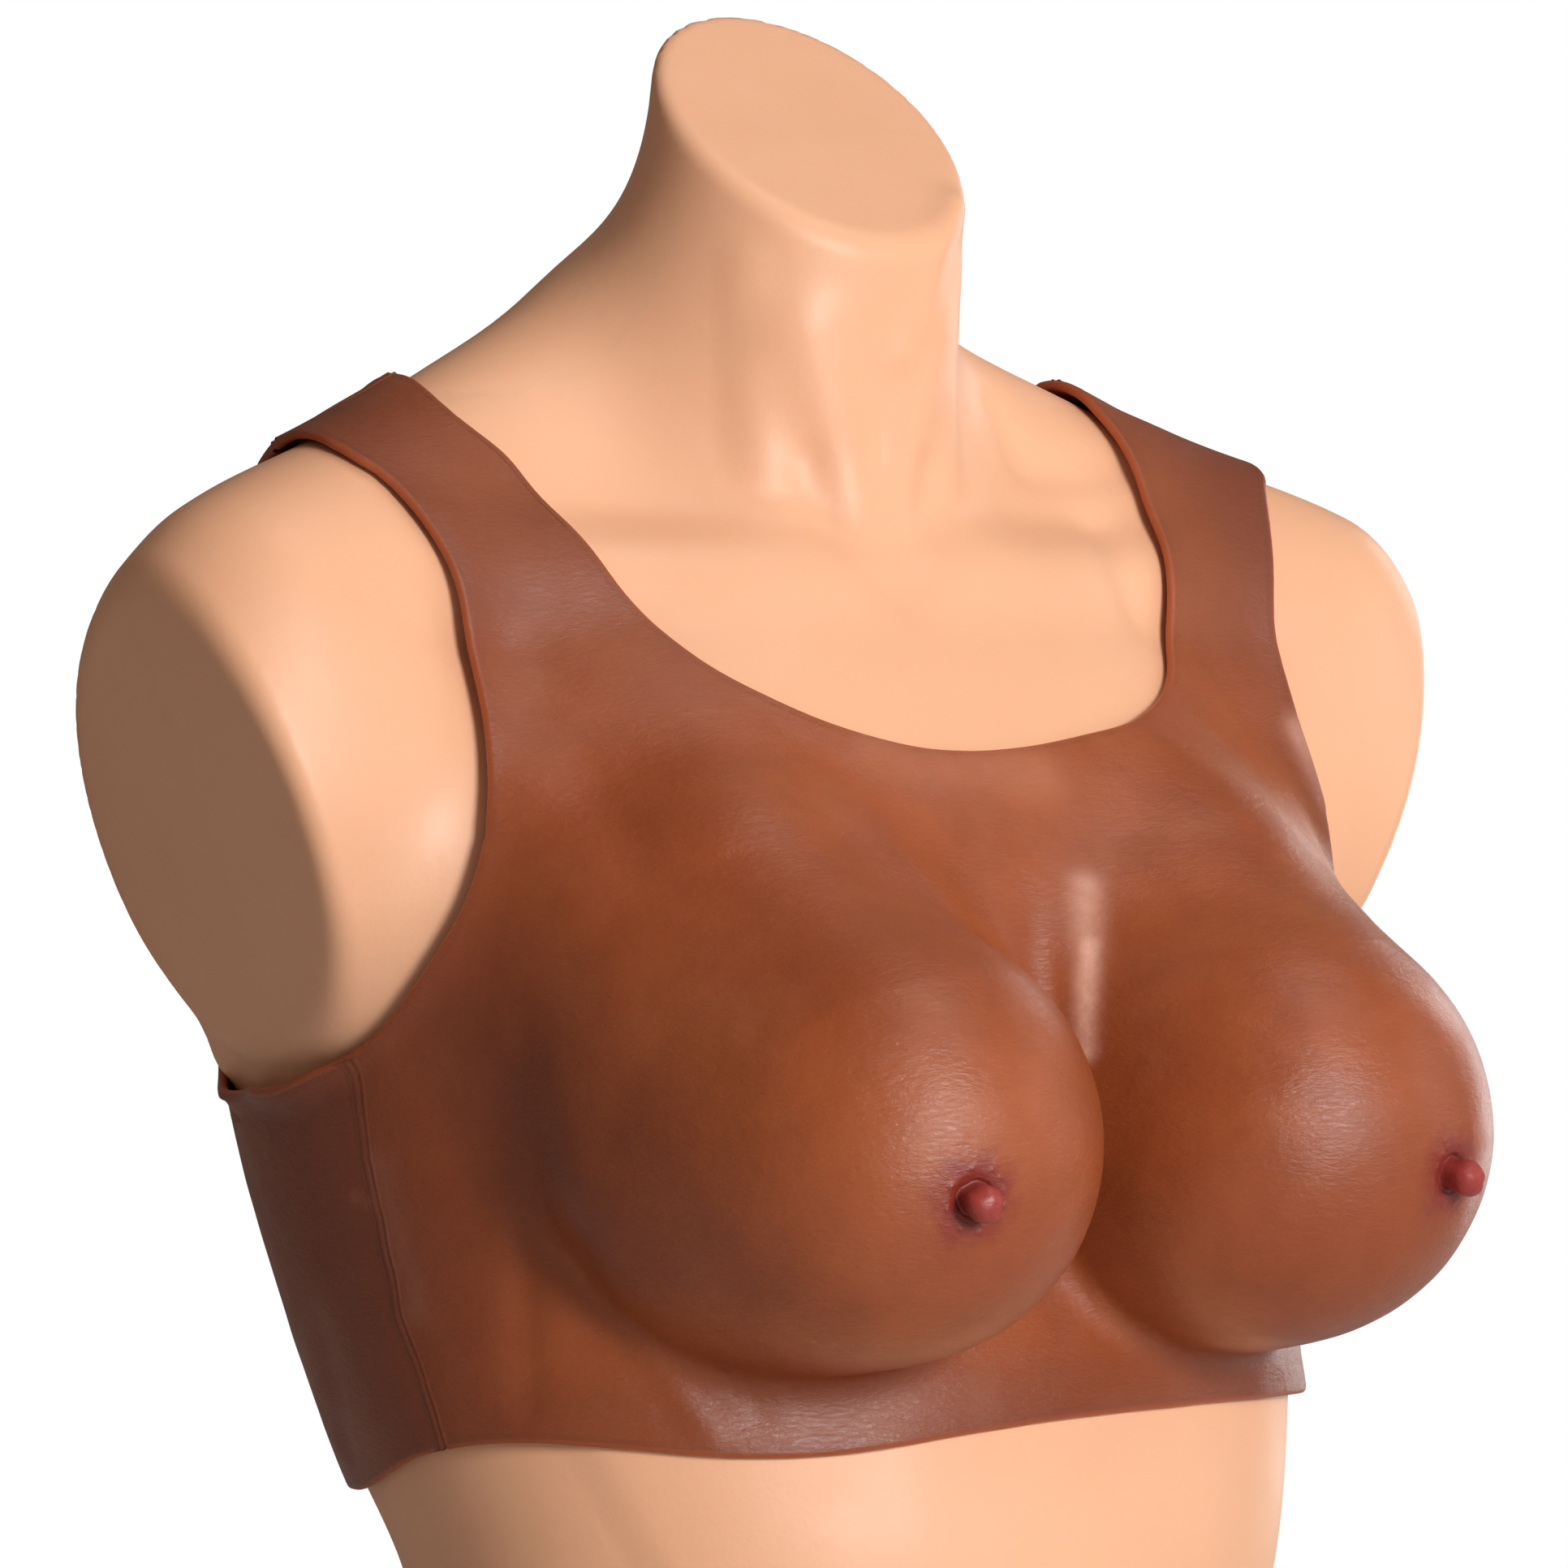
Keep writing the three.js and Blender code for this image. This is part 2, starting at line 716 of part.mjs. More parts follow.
function clampStud(length) {
  return solid(
    turned(
      [
        [0, 0],
        [CLAMP.r - 0.8, 0],
        [CLAMP.r, 0.8],
        [CLAMP.r, length - 0.8],
        [CLAMP.r - 0.8, length],
        [0, length],
      ],
      ROUND,
    ).rotateX(-Math.PI / 2),
  );
}

function clampKnob() {
  const rim = [];
  for (let i = 0; i < 40; i++) {
    const a = (i / 40) * 2 * Math.PI;
    const r = KNOB.r + KNOB.lobe * Math.cos(KNOB.lobes * a);
    rim.push([r * Math.cos(a), r * Math.sin(a)]);
  }
  const geometry = new THREE.ExtrudeGeometry(outline(rim), {
    depth: KNOB.thick - 2.4,
    bevelEnabled: true,
    bevelThickness: 1.2,
    bevelSize: 1.2,
    bevelOffset: -1.2,
    bevelSegments: 1,
  });
  geometry.translate(0, 0, 1.2);
  geometry.rotateX(-Math.PI / 2);
  const hole = rod([0, -1, 0], [0, 1, 0], KNOB.holeR, KNOB.holeDepth + 1);
  return solid(geometry).subtract(hole);
}

// ---- Vest ------------------------------------------------------------------------------------------

const vestNet = surfaceNet(
  (p) => Math.max(vestField(p), 146 - p[2], p[2] - 470, Math.abs(p[0]) - 176),
  [-189, -224, 133],
  [189, 150, 480],
  VEST_CELL,
);

function armholeCutter(points, side, y0, y1) {
  const shift = (z) => (side > 0 ? ARMHOLE_LEFT_SHIFT * THREE.MathUtils.smoothstep(z, 290, 345) : 0);
  const edge = smoothPoints(points, 26).map(([x, z]) => [(x + shift(z)) * side, z]);
  const around = [...edge, [280 * side, 264], [280 * side, 480]];
  return solid(prismAlongY(around, y0, y1));
}

function vestCutters() {
  const front = smoothPoints(NECKLINE_FRONT, 44);
  const back = smoothPoints(NECKLINE_BACK, 30);
  const over = [
    [103, 700],
    [-110, 700],
  ];
  const hem = smoothPoints(HEM, 14);
  const below = [
    [140, 60],
    [-210, 60],
  ];
  const hemCut = prismAlongX([...hem, ...below].reverse(), -260, 260);
  hemCut.translate(0, 0, -180);
  hemCut.rotateY(-radians(HEM_ROLL));
  hemCut.translate(0, 0, 180);
  return [
    solid(prismAlongY([...front, ...over], -300, NECKLINE_SPLIT_Y)),
    solid(prismAlongY([...back, ...over], NECKLINE_SPLIT_Y - 0.01, 300)),
    ...[1, -1].flatMap((side) => [
      armholeCutter(ARMHOLE_FRONT, side, -300, NECKLINE_SPLIT_Y),
      armholeCutter(ARMHOLE_BACK, side, NECKLINE_SPLIT_Y - 0.01, 300),
    ]),
    solid(hemCut),
    ...armPlanes(-VEST_LIP, VEST_SIDE),
  ];
}

function pocketNet(side) {
  return surfaceNet((p) => pocketField(p, side), [-189, -224, 133], [189, 18, 390], VEST_CELL);
}

function sideVector(v, side) {
  return [v[0] * side, v[1], v[2]];
}

function nippleRecess(side) {
  const out = unit(sideVector(NIPPLE.towards, side));
  const from = sideVector(NIPPLE.at, side).map((c, i) => c - out[i] * NIPPLE.recessDepth);
  return rod(from, out, NIPPLE.recessR, 14, 20);
}

function nipple(name, side) {
  const made = mesh(name, solid(turned(NIPPLE_PROFILE, 20)), NIPPLE_LOOK);
  const out = new THREE.Vector3(...unit(sideVector(NIPPLE.towards, side)));
  made.quaternion.setFromUnitVectors(new THREE.Vector3(0, 0, 1), out);
  made.position.set(...sideVector(NIPPLE.at, side));
  return made;
}

function vestPieces() {
  const fit = netSolid(torsoNet, VEST_FIT);
  const cutters = vestCutters();
  const skin = cutAll(netSolid(vestNet), [fit, ...cutters]);
  const bead = cutAll(netSolid(vestNet, SEAM_RAISE), [fit, ...cutters]);
  const pockets = [1, -1].map((side) => pocketNet(side));
  const clear = SEAM_HALF + GAP;
  const front = bandAlongX(VEST_SPLIT, -400, -clear, -260, 260);
  const back = bandAlongX(VEST_SPLIT, clear, 400, -260, 260);
  const seam = (x0, x1, z0, z1) =>
    bead.intersect(bandAlongX(VEST_SPLIT, -SEAM_HALF, SEAM_HALF, x0, x1)).intersect(slab(z0, z1));
  return {
    front: cutAll(skin.intersect(front), [
      ...pockets.map((net) => netSolid(net)),
      nippleRecess(1),
      nippleRecess(-1),
    ]),
    back: skin.intersect(back),
    sideLeft: seam(0, 260, 100, 340),
    sideRight: seam(-260, 0, 100, 340),
    shoulderLeft: seam(0, 260, SHOULDER_SEAM_Z, 520),
    shoulderRight: seam(-260, 0, SHOULDER_SEAM_Z, 520),
    gels: pockets.map((net) => netSolid(net, -GAP).subtract(netSolid(torsoNet, VEST_FIT + 2 * GAP + BACKING))),
    backings: pockets.map((net) =>
      netSolid(net, -GAP)
        .intersect(netSolid(torsoNet, VEST_FIT + GAP + BACKING))
        .subtract(netSolid(torsoNet, VEST_FIT + GAP)),
    ),
  };
}

// ---- Assembly ----------------------------------------------------------------------------------------

function torsoGroup() {
  const group = new THREE.Group();
  const shell = cutAll(torsoShell(), holesFor(baseScrewPlaces(), BASE_SCREW, GAP));
  group.add(mesh("torso_front_shell", shell.intersect(bandAlongX(PARTING, -400, -GAP / 2, -300, 300)), PLASTIC));
  group.add(mesh("torso_back_shell", shell.intersect(bandAlongX(PARTING, GAP / 2, 400, -300, 300)), PLASTIC));
  group.add(mesh("base_plate", basePlate(), BOARD));
  baseScrewPlaces().forEach(({ at, out }, i) => {
    group.add(screw(`base_screw_${i + 1}`, BASE_SCREW, at, out));
  });
  flangeScrewPlaces().forEach(({ at, out }, i) => {
    group.add(screw(`flange_screw_${i + 1}`, FLANGE_SCREW, at, out));
  });
  return group;
}

function standGroup() {
  const group = new THREE.Group();
  group.position.y = PLATE.axisY;
  group.add(mesh("stand_flange", standFlange(), STEEL));
  const clamp = new THREE.Group();
  clamp.position.set(0, CLAMP.padFront, FLANGE.bossZ);
  clamp.add(mesh("clamp_pad", clampPad(), BRASS));
  const studStart = CLAMP.padLength + GAP;
  const knobStart = FLANGE.bossEnd - CLAMP.padFront + KNOB.clear;
  const stud = mesh("clamp_stud", clampStud(knobStart + KNOB.holeDepth - GAP - studStart), STEEL);
  stud.position.y = studStart;
  clamp.add(stud);
  const knob = mesh("clamp_knob", clampKnob(), BLACK_PLASTIC);
  knob.position.y = knobStart;
  clamp.add(knob);
  group.add(clamp);
  return group;
}

function vestGroup() {
  const group = new THREE.Group();
  const vest = vestPieces();
  group.add(mesh("vest_front_panel", vest.front, SILICONE));
  group.add(mesh("vest_back_panel", vest.back, SILICONE));
  group.add(mesh("side_seam_left", vest.sideLeft, SILICONE));
  group.add(mesh("side_seam_right", vest.sideRight, SILICONE));
  group.add(mesh("shoulder_seam_left", vest.shoulderLeft, SILICONE));
  group.add(mesh("shoulder_seam_right", vest.shoulderRight, SILICONE));
  group.add(mesh("gel_fill_left", vest.gels[0], GEL));
  group.add(mesh("gel_fill_right", vest.gels[1], GEL));
  group.add(mesh("gel_backing_left", vest.backings[0], SILICONE));
  group.add(mesh("gel_backing_right", vest.backings[1], SILICONE));
  group.add(nipple("nipple_left", 1));
  group.add(nipple("nipple_right", -1));
  return group;
}

const root = new THREE.Group();
root.name = "display_torso_with_breast_form_vest";
root.position.y = FRAME_Y;
root.add(torsoGroup());
root.add(standGroup());
root.add(vestGroup());

export default root;
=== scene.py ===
import math
import bpy
import numpy as np
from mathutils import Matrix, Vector


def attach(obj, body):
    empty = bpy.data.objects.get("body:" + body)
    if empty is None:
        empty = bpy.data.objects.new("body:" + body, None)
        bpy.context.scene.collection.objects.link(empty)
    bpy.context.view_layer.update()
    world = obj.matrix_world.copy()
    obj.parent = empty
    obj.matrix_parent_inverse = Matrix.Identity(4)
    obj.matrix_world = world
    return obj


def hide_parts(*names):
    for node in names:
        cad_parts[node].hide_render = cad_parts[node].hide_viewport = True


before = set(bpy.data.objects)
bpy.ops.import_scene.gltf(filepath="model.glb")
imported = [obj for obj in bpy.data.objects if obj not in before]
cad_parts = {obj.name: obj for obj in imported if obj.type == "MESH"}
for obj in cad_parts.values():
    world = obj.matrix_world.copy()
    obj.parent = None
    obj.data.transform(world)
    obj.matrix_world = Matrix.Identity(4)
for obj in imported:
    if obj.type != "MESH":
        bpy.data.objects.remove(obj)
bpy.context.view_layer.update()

# ---- Dimensions, in millimetres about the torso's own axis ----

FRAME_Y = 37.0
MM = 0.001

# Trunk sections: height, half width, half depth, centre y, and the exponent of the oval.
TRUNK = np.array([
    [-40, 128, 98, -6, 2.2], [0, 118, 90, -14, 2.2], [65, 106.5, 80, -25, 2.2],
    [139, 120.3, 93, -26, 2.2], [180, 131, 101, -13, 2.25], [259, 144.5, 106.5, 8.5, 2.3],
    [320, 152, 104, 8, 2.3], [370, 138, 82, 12, 2.3], [415, 104, 56, 18, 2.2], [450, 62, 42, 26, 2],
])
TRUNK_TOP = 425
TRUNK_TOP_BLEND = 30
# Neck: an oval tube that leans forward and is cut by a plane at the face angle.
NECK_Y, NECK_Z, NECK_LEAN = -10, 523.5, 11
NECK_W, NECK_D, NECK_FLARE = 43.5, 42, 0.15
NECK_FACE = 42
NECK_BLEND = 26
# Arm stumps: oval tubes cut by a plane that leans in under the shoulder. Inwards they get taller
# and less deep. Below SIDE_TOP the plane leaves the trunk's side alone.
SIDE_TOP = 285
STUMP = dict(y=12, z=335, half_depth=55.5, half_height=64, grow=0.06, turn=17, start=-50)
ARM_X, ARM_Z, ARM_LEAN = 202, 400, 22
# Muscles and bones as rounded cones: end, end, radius, radius, blend. They repeat on both sides.
# The arm stumps are blended in after the first two, which are the slopes of the shoulders.
STUMP_AFTER = 2
RIDGES = [
    ((34, 44, 458), (172, -5, 398), 22, 22, 55),
    ((10, 48, 430), (120, 40, 390), 30, 26, 30),
    ((16, -42, 400), (150, -12, 400), 6, 8, 18),
    ((25.5, -25, 430), (28.4, -24.8, 484), 6.2, 3.8, 9),
    ((3, -33.5, 420), (18, -31.5, 466), 5.4, 5.4, 14),
]
# Shallow hollows in the skin: points along each, depth, width. A negative depth raises a ridge.
HOLLOWS = [
    ([(-19.5, -39, 432), (-17.5, -42, 419), (-15, -47, 408), (-8, -51, 400.5), (1, -52, 398.5),
      (9, -51, 401), (14, -47, 409), (16, -43, 420), (18, -40, 430)], 1.1, 6.0),
    ([(66, -2, 450), (71.6, -10.4, 433.5), (88.5, -11, 431.5), (104, -10, 433)], 1.3, 7.0),
    ([(85, -24, 417), (84, -37, 405), (86.5, -41, 394)], 1.6, 7.0),
    ([(-46, -113, 120), (-49, -113, 150), (-53, -111, 185)], 0.7, 9.0),
    ([(46, -114, 120), (42.5, -115, 150), (40, -112, 185)], 0.8, 9.0),
    ([(32, -34.5, 504), (21, -42, 491), (13, -43.8, 475), (7, -43.5, 461)], -1.3, 5.5),
]
ARMPIT_FILL = dict(low=(142, 53, 277), high=(142, 55, 287), height=5.8, width=8.5)
BELLY_LINE = dict(depth=1.1, width=6)
# Line where the two torso halves meet, seen from the side: y, z.
PARTING = np.array([
    [-14, -20], [-22, 65], [-24, 139], [-13, 180], [6, 259], [8, 330], [10, 400], [4, 450],
    [-10, 490], [-11.5, 520], [-11.5, 620],
], float)
# Rounding of the cut faces' rims.
NECK_ROUND = 5
ARM_ROUND = 6

# Breast on one side: a forward ball turned outwards, a wide root and a sloping upper part.
BALL = dict(x=62, y=-129, z=257, radii=(56, 58.5, 54.5), turn=9)
ROOT = dict(at=(68, -92, 260), radii=(62, 34, 59))
SLOPE = dict(top=(74, -82, 316), low=(66, -112, 268), top_r=30, low_r=43)
ROOT_BLEND, SLOPE_BLEND, CLEAVAGE_BLEND = 28, 34, 12

# The vest's outer face stands this far off the body, and its skin is this thick.
VEST_OUTER = 3.5
SKIN = 2.8
# Nipples by side, 1 on the left: x, z.
NIPPLE = {1: (78.5, 248.5), -1: (-72.5, 247.0)}

# Neckline, seen from the front: x, z. It sits a little lower and straighter on the left.
NECKLINE_FRONT = [
    (-110, 470), (-110, 446), (-98.5, 432), (-90, 413), (-81.2, 396), (-66.3, 379), (-45, 366.5),
    (-21, 359), (0, 357), (20, 358), (42, 361.5), (64, 366), (82, 374), (94, 388), (99, 406),
    (104, 430), (103, 450), (103, 470),
]
NECKLINE_BACK = [
    (-110, 470), (-109, 446), (-98, 422), (-78, 402), (-45, 390), (0, 386), (45, 390), (76, 402),
    (94, 422), (103, 446), (103, 470),
]
# Armholes, seen from the front: distance from the middle, z.
ARMHOLE_FRONT = [
    (151, 480), (149, 440), (138, 426), (131, 411), (126.5, 390), (127, 368), (131, 348),
    (137, 328), (144, 307), (149, 295), (158, 288), (175, 286), (190, 286),
]
ARMHOLE_BACK = [
    (151, 480), (149, 440), (140, 422), (133, 403), (128, 382), (127, 358), (131, 332),
    (137, 307), (144, 293), (155, 287), (175, 286), (190, 286),
]
# Lower part of the armholes, seen from the side: y, z.
ARMHOLE_SIDE = [
    (-57, 336), (-55.5, 319), (-47.3, 302), (-34, 287.2), (-21.4, 279), (-9, 274.2), (6, 271),
    (26, 268.6), (40, 268), (49, 269.3), (56, 273.5), (62, 281), (66, 294), (70, 313), (71, 336),
]
# The left armhole's front corner sits a little further back.
ARMHOLE_SIDE_LEFT = [(-53, 338), (-54.4, 321)] + ARMHOLE_SIDE[2:]
# Under the arms the vest ends this far past the arm faces' plane, or this far from the middle.
VEST_LIP = 2.0
VEST_SIDE = 157
UNDER_ARM_TOP = 287
UNDER_ARM_X = 115
# Stands for a distance where an outline doesn't count.
FAR = 200
# The left strap's outer edge sits this much further out.
LEFT_STRAP_SHIFT = 8
# Height of the hem by direction round the body in degrees: 0 in front, negative on the right.
HEM = np.array([
    (-180, 162), (-150, 161), (-125, 161), (-101, 163.4), (-95.5, 167), (-87, 174.5), (-80, 178.7),
    (-70, 181.6), (-58.6, 180.6), (-46, 178.2), (-35, 178.2), (-25, 180), (-15, 182.4), (1.4, 184.9),
    (16.6, 186), (33, 186.3), (54, 185.2), (75, 182.5), (95, 176), (120, 169), (150, 164), (180, 162),
], float)
# Seams between the vest's front and back panels: y, z.
VEST_SPLIT = np.array([
    [-47, 130], [-38, 178], [-33, 196], [-26.5, 212], [-23, 235], [-20, 252], [-20.5, 279], [0, 345],
    [22, 400], [22, 500],
], float)


# ---- Fields: negative inside, positive outside ----

def smin(a, b, k):
    h = np.clip(0.5 + 0.5 * (b - a) / k, 0, 1)
    return b * (1 - h) + a * h - k * h * (1 - h)


def smax(a, b, k):
    return -smin(-a, -b, k)


def smoothstep(x, a, b):
    t = np.clip((x - a) / (b - a), 0, 1)
    return t * t * (3 - 2 * t)


def bell(t, width):
    return np.exp(-((t / width) ** 2))


def turned(u, v, degrees):
    """Coordinates along axes turned by an angle."""
    a = math.radians(degrees)
    return u * math.cos(a) + v * math.sin(a), -u * math.sin(a) + v * math.cos(a)


def circle(count):
    """Cosines and sines of evenly spaced angles."""
    a = np.linspace(0, 2 * math.pi, count, endpoint=False)
    return np.cos(a), np.sin(a)


def hermite_table(rows):
    """Columns of rows[1:] against rows[0], as fine lookups of a smooth curve through the rows."""
    z = np.arange(rows[0, 0], rows[-1, 0] + 0.25, 0.5)
    x, y = rows[:, 0], rows[:, 1:]
    m = np.empty_like(y)
    m[1:-1] = (y[2:] - y[:-2]) / (x[2:] - x[:-2])[:, None]
    m[0] = (y[1] - y[0]) / (x[1] - x[0])
    m[-1] = (y[-1] - y[-2]) / (x[-1] - x[-2])
    i = np.clip(np.searchsorted(x, z, side="left"), 1, len(x) - 1)
    h = (x[i] - x[i - 1])[:, None]
    t = ((z - x[i - 1])[:, None]) / h
    rise = y[i] - y[i - 1]
    m0, m1 = m[i - 1] * h, m[i] * h
    return z, y[i - 1] + t * (m0 + t * (3 * rise - 2 * m0 - m1 + t * (m0 + m1 - 2 * rise)))


TRUNK_Z, TRUNK_V = hermite_table(TRUNK)


def trunk(x, y, z):
    a, b, c, n = (np.interp(z, TRUNK_Z, TRUNK_V[:, k]) for k in range(4))
    oval = (np.abs(x / a) ** n + np.abs((y - c) / b) ** n) ** (1 / n)
    return smax((oval - 1) * np.minimum(a, b), z - TRUNK_TOP, TRUNK_TOP_BLEND)


def ellipsoid(x, y, z, at, r):
    qx, qy, qz = (x - at[0]) / r[0], (y - at[1]) / r[1], (z - at[2]) / r[2]
    length = np.sqrt(qx * qx + qy * qy + qz * qz)
    slope = np.sqrt((qx / r[0]) ** 2 + (qy / r[1]) ** 2 + (qz / r[2]) ** 2) + 1e-9
    return length * (length - 1) / slope


def cone(x, y, z, a, b, r0, r1):
    """Distance to a rod from a to b with rounded ends, of radius r0 at a and r1 at b."""
    d = np.subtract(b, a).astype(float)
    px, py, pz = x - a[0], y - a[1], z - a[2]
    t = np.clip((px * d[0] + py * d[1] + pz * d[2]) / (d @ d), 0, 1)
    away = np.sqrt((px - d[0] * t) ** 2 + (py - d[1] * t) ** 2 + (pz - d[2] * t) ** 2)
    return away - (r0 + (r1 - r0) * t)


def neck(x, y, z):
    """Oval tube that widens downwards, more so near the shoulders."""
    across, up = turned(y - NECK_Y, z - NECK_Z, NECK_LEAN)
    down = np.clip(-up, 0, 140)
    wide = NECK_W + down * 0.03 + np.maximum(down - 60, 0) * NECK_FLARE
    deep = NECK_D + down * 0.05
    return smax((np.hypot(x / wide, across / deep) - 1) * wide, -150 - up, 20)


def stump(x, y, z):
    """Oval tube square to the arm's face, its long axis turned forwards at the top."""
    face = ARM_X - (ARM_Z - STUMP["z"]) * math.tan(math.radians(ARM_LEAN))
    out, up = turned(x - face, z - STUMP["z"], -ARM_LEAN)
    w, v = turned(y - STUMP["y"], up, STUMP["turn"])
    inward = np.clip(-out, 0, 90)
    rw = STUMP["half_depth"] - STUMP["grow"] * inward
    rv = STUMP["half_height"] + STUMP["grow"] * inward
    return smax((np.hypot(w / rw, v / rv) - 1) * rw, STUMP["start"] - out, 40)


def body(x, y, z):
    """Trunk, neck, arm stumps and muscles, without the cut faces."""
    xa = np.abs(x)
    d = smin(trunk(xa, y, z), neck(xa, y, z), NECK_BLEND)
    for i, (a, b, r0, r1, k) in enumerate(RIDGES):
        if i == STUMP_AFTER:
            d = smin(d, stump(xa, y, z), 12 + 20 * smoothstep(z, 265, 320))
        d = smin(d, cone(xa, y, z, a, b, r0, r1), k)
    return d


def line_distance(x, y, z, line):
    """Distance to a run of straight pieces through the points of line."""
    best = np.full(np.shape(x), 1e9)
    for a, b in zip(line, line[1:]):
        best = np.minimum(best, cone(x, y, z, a, b, 0, 0))
    return best


def neck_cut(x, y, z):
    return turned(y - NECK_Y, z - NECK_Z, NECK_FACE)[1]


def arm_cut(x, y, z):
    return turned(np.abs(x) - ARM_X, z - ARM_Z, -ARM_LEAN)[0]


def torso(x, y, z):
    """The torso's skin, with its cut faces and surface lines."""
    d = smax(body(x, y, z), neck_cut(x, y, z), NECK_ROUND)
    groove = BELLY_LINE["depth"] * bell(x, BELLY_LINE["width"])
    d = d + groove * smoothstep(175 - z, 0, 30) * smoothstep(-y, 40, 80)
    for line, depth, width in HOLLOWS:
        d = d + depth * bell(line_distance(x, y, z, line), width)
    armpit = cone(np.abs(x), y, z, ARMPIT_FILL["low"], ARMPIT_FILL["high"], 0, 0)
    d = d - ARMPIT_FILL["height"] * bell(armpit, ARMPIT_FILL["width"])
    cut = smax(d, arm_cut(x, y, z), ARM_ROUND)
    blend = np.maximum(4 * smoothstep(SIDE_TOP - z, 0, 20), 1e-9)
    return np.where(z < SIDE_TOP, smin(cut, trunk(np.abs(x), y, z), blend), cut)


def breast(x, y, z, side):
    """One breast; side is 1 on the left and -1 on the right."""
    p = x * side
    across, ahead = turned(p - BALL["x"], y - BALL["y"], BALL["turn"])
    ball = ellipsoid(across, ahead, z - BALL["z"], (0, 0, 0), BALL["radii"])
    root = ellipsoid(p, y, z, ROOT["at"], ROOT["radii"])
    slope = cone(p, y, z, SLOPE["top"], SLOPE["low"], SLOPE["top_r"], SLOPE["low_r"])
    return smin(smin(ball, root, ROOT_BLEND), slope, SLOPE_BLEND)


def bust(x, y, z):
    return smin(breast(x, y, z, 1), breast(x, y, z, -1), CLEAVAGE_BLEND)


def vest(x, y, z):
    """The vest's outer face. The breasts meet the chest more softly above and outside than below."""
    over = 22 * smoothstep(z, 215, 305)
    outer = 14 * smoothstep(np.abs(x), 104, 126) * smoothstep(z, 215, 245)
    return smin(body(x, y, z) - VEST_OUTER, bust(x, y, z), 9 + over + outer)


# ---- Outlines of the vest ----

def spline(points, count):
    """A smooth curve through the points."""
    p = np.array(points, float)
    n = len(p)
    t = np.linspace(0, n - 1, count + 1)
    k = np.minimum(t.astype(int), n - 2)
    w = (t - k)[:, None]
    p0, p1, p2, p3 = p[np.maximum(k - 1, 0)], p[k], p[k + 1], p[np.minimum(k + 2, n - 1)]
    v0, v1 = (p2 - p0) / 2, (p3 - p1) / 2
    return (2 * p1 - 2 * p2 + v0 + v1) * w**3 + (-3 * p1 + 3 * p2 - 2 * v0 - v1) * w**2 + v0 * w + p1


def polygon_distance(poly, u, v):
    """Signed distance to a closed outline, negative inside."""
    best = np.full(len(u), 1e18)
    inside = np.zeros(len(u), bool)
    nxt = np.roll(poly, -1, axis=0)
    for (ax, ay), (bx, by) in zip(poly, nxt):
        ex, ey = bx - ax, by - ay
        t = np.clip(((u - ax) * ex + (v - ay) * ey) / max(ex * ex + ey * ey, 1e-12), 0, 1)
        best = np.minimum(best, (u - ax - t * ex) ** 2 + (v - ay - t * ey) ** 2)
        crosses = (ay > v) != (by > v)
        if ay != by:
            inside ^= crosses & (u < (bx - ax) * (v - ay) / (by - ay) + ax)
    return np.where(inside, -1, 1) * np.sqrt(best)


def armhole_outline(points, side):
    """The closed outline of an armhole, seen from the front."""
    edge = spline(points, 40)
    if side > 0:
        edge[:, 0] += LEFT_STRAP_SHIFT * smoothstep(edge[:, 1], 290, 345)
    edge[:, 0] *= side
    return np.vstack([edge, [(280 * side, 286), (280 * side, 480)]])


OUTLINES = {
    "neck_front": np.vstack([spline(NECKLINE_FRONT, 90), [(103, 700), (-110, 700)]]),
    "neck_back": np.vstack([spline(NECKLINE_BACK, 50), [(103, 700), (-110, 700)]]),
    ("arm_side", -1): spline(ARMHOLE_SIDE, 56),
    ("arm_side", 1): spline(ARMHOLE_SIDE_LEFT, 56),
}
for s in (1, -1):
    OUTLINES["arm_front", s] = armhole_outline(ARMHOLE_FRONT, s)
    OUTLINES["arm_back", s] = armhole_outline(ARMHOLE_BACK, s)


def behind_seam(p):
    """Distance behind the seams between the vest's panels."""
    return p[:, 1] - np.interp(p[:, 2], VEST_SPLIT[:, 1], VEST_SPLIT[:, 0])


def outline_distance(front, back, x, y, z):
    """Distance to the front outline, which gives way to the back one over the shoulders."""
    w = smoothstep(y, 2, 24)
    front, back = (polygon_distance(OUTLINES[key], x, z) for key in (front, back))
    return front * (1 - w) + back * w


def hem_height(x, y):
    """Height of the hem, evened out over a few degrees round the body."""
    turn = np.degrees(np.arctan2(x, -(y + 15)))
    near = [np.interp(turn + d, HEM[:, 0], HEM[:, 1], period=360) for d in (-4, -2, 0, 2, 4)]
    return np.mean(near, axis=0)


def region(x, y, z):
    """Negative on the vest, positive beyond its edges, about in millimetres."""
    neckline = outline_distance("neck_front", "neck_back", x, y, z)
    out = np.maximum(-neckline, hem_height(x, y) - z)
    beyond_arm = np.minimum(arm_cut(x, y, z) - VEST_LIP, np.abs(x) - VEST_SIDE)
    out = smax(out, np.where(z < UNDER_ARM_TOP, beyond_arm, -FAR), 2)
    for side in (1, -1):
        arm = outline_distance(("arm_front", side), ("arm_back", side), x, y, z)
        under = polygon_distance(OUTLINES["arm_side", side], y, z)
        out = smax(out, np.where(x * side > 0, -arm, -FAR), 3)
        out = smax(out, np.where(x * side > UNDER_ARM_X, -under, -FAR), 3)
    return out


# ---- Meshing ----

CORNERS = np.array([(i, j, k) for k in (0, 1) for j in (0, 1) for i in (0, 1)])
EDGES = [(a, b) for a in range(8) for b in range(a + 1, 8)
         if np.abs(CORNERS[a] - CORNERS[b]).sum() == 1]
BLOCK = 8
# A block may hold surface if the field at its middle is under half its diagonal, with some slack.
HALF_DIAGONAL, SLACK = 0.87, 1.35
CHUNK = 400000


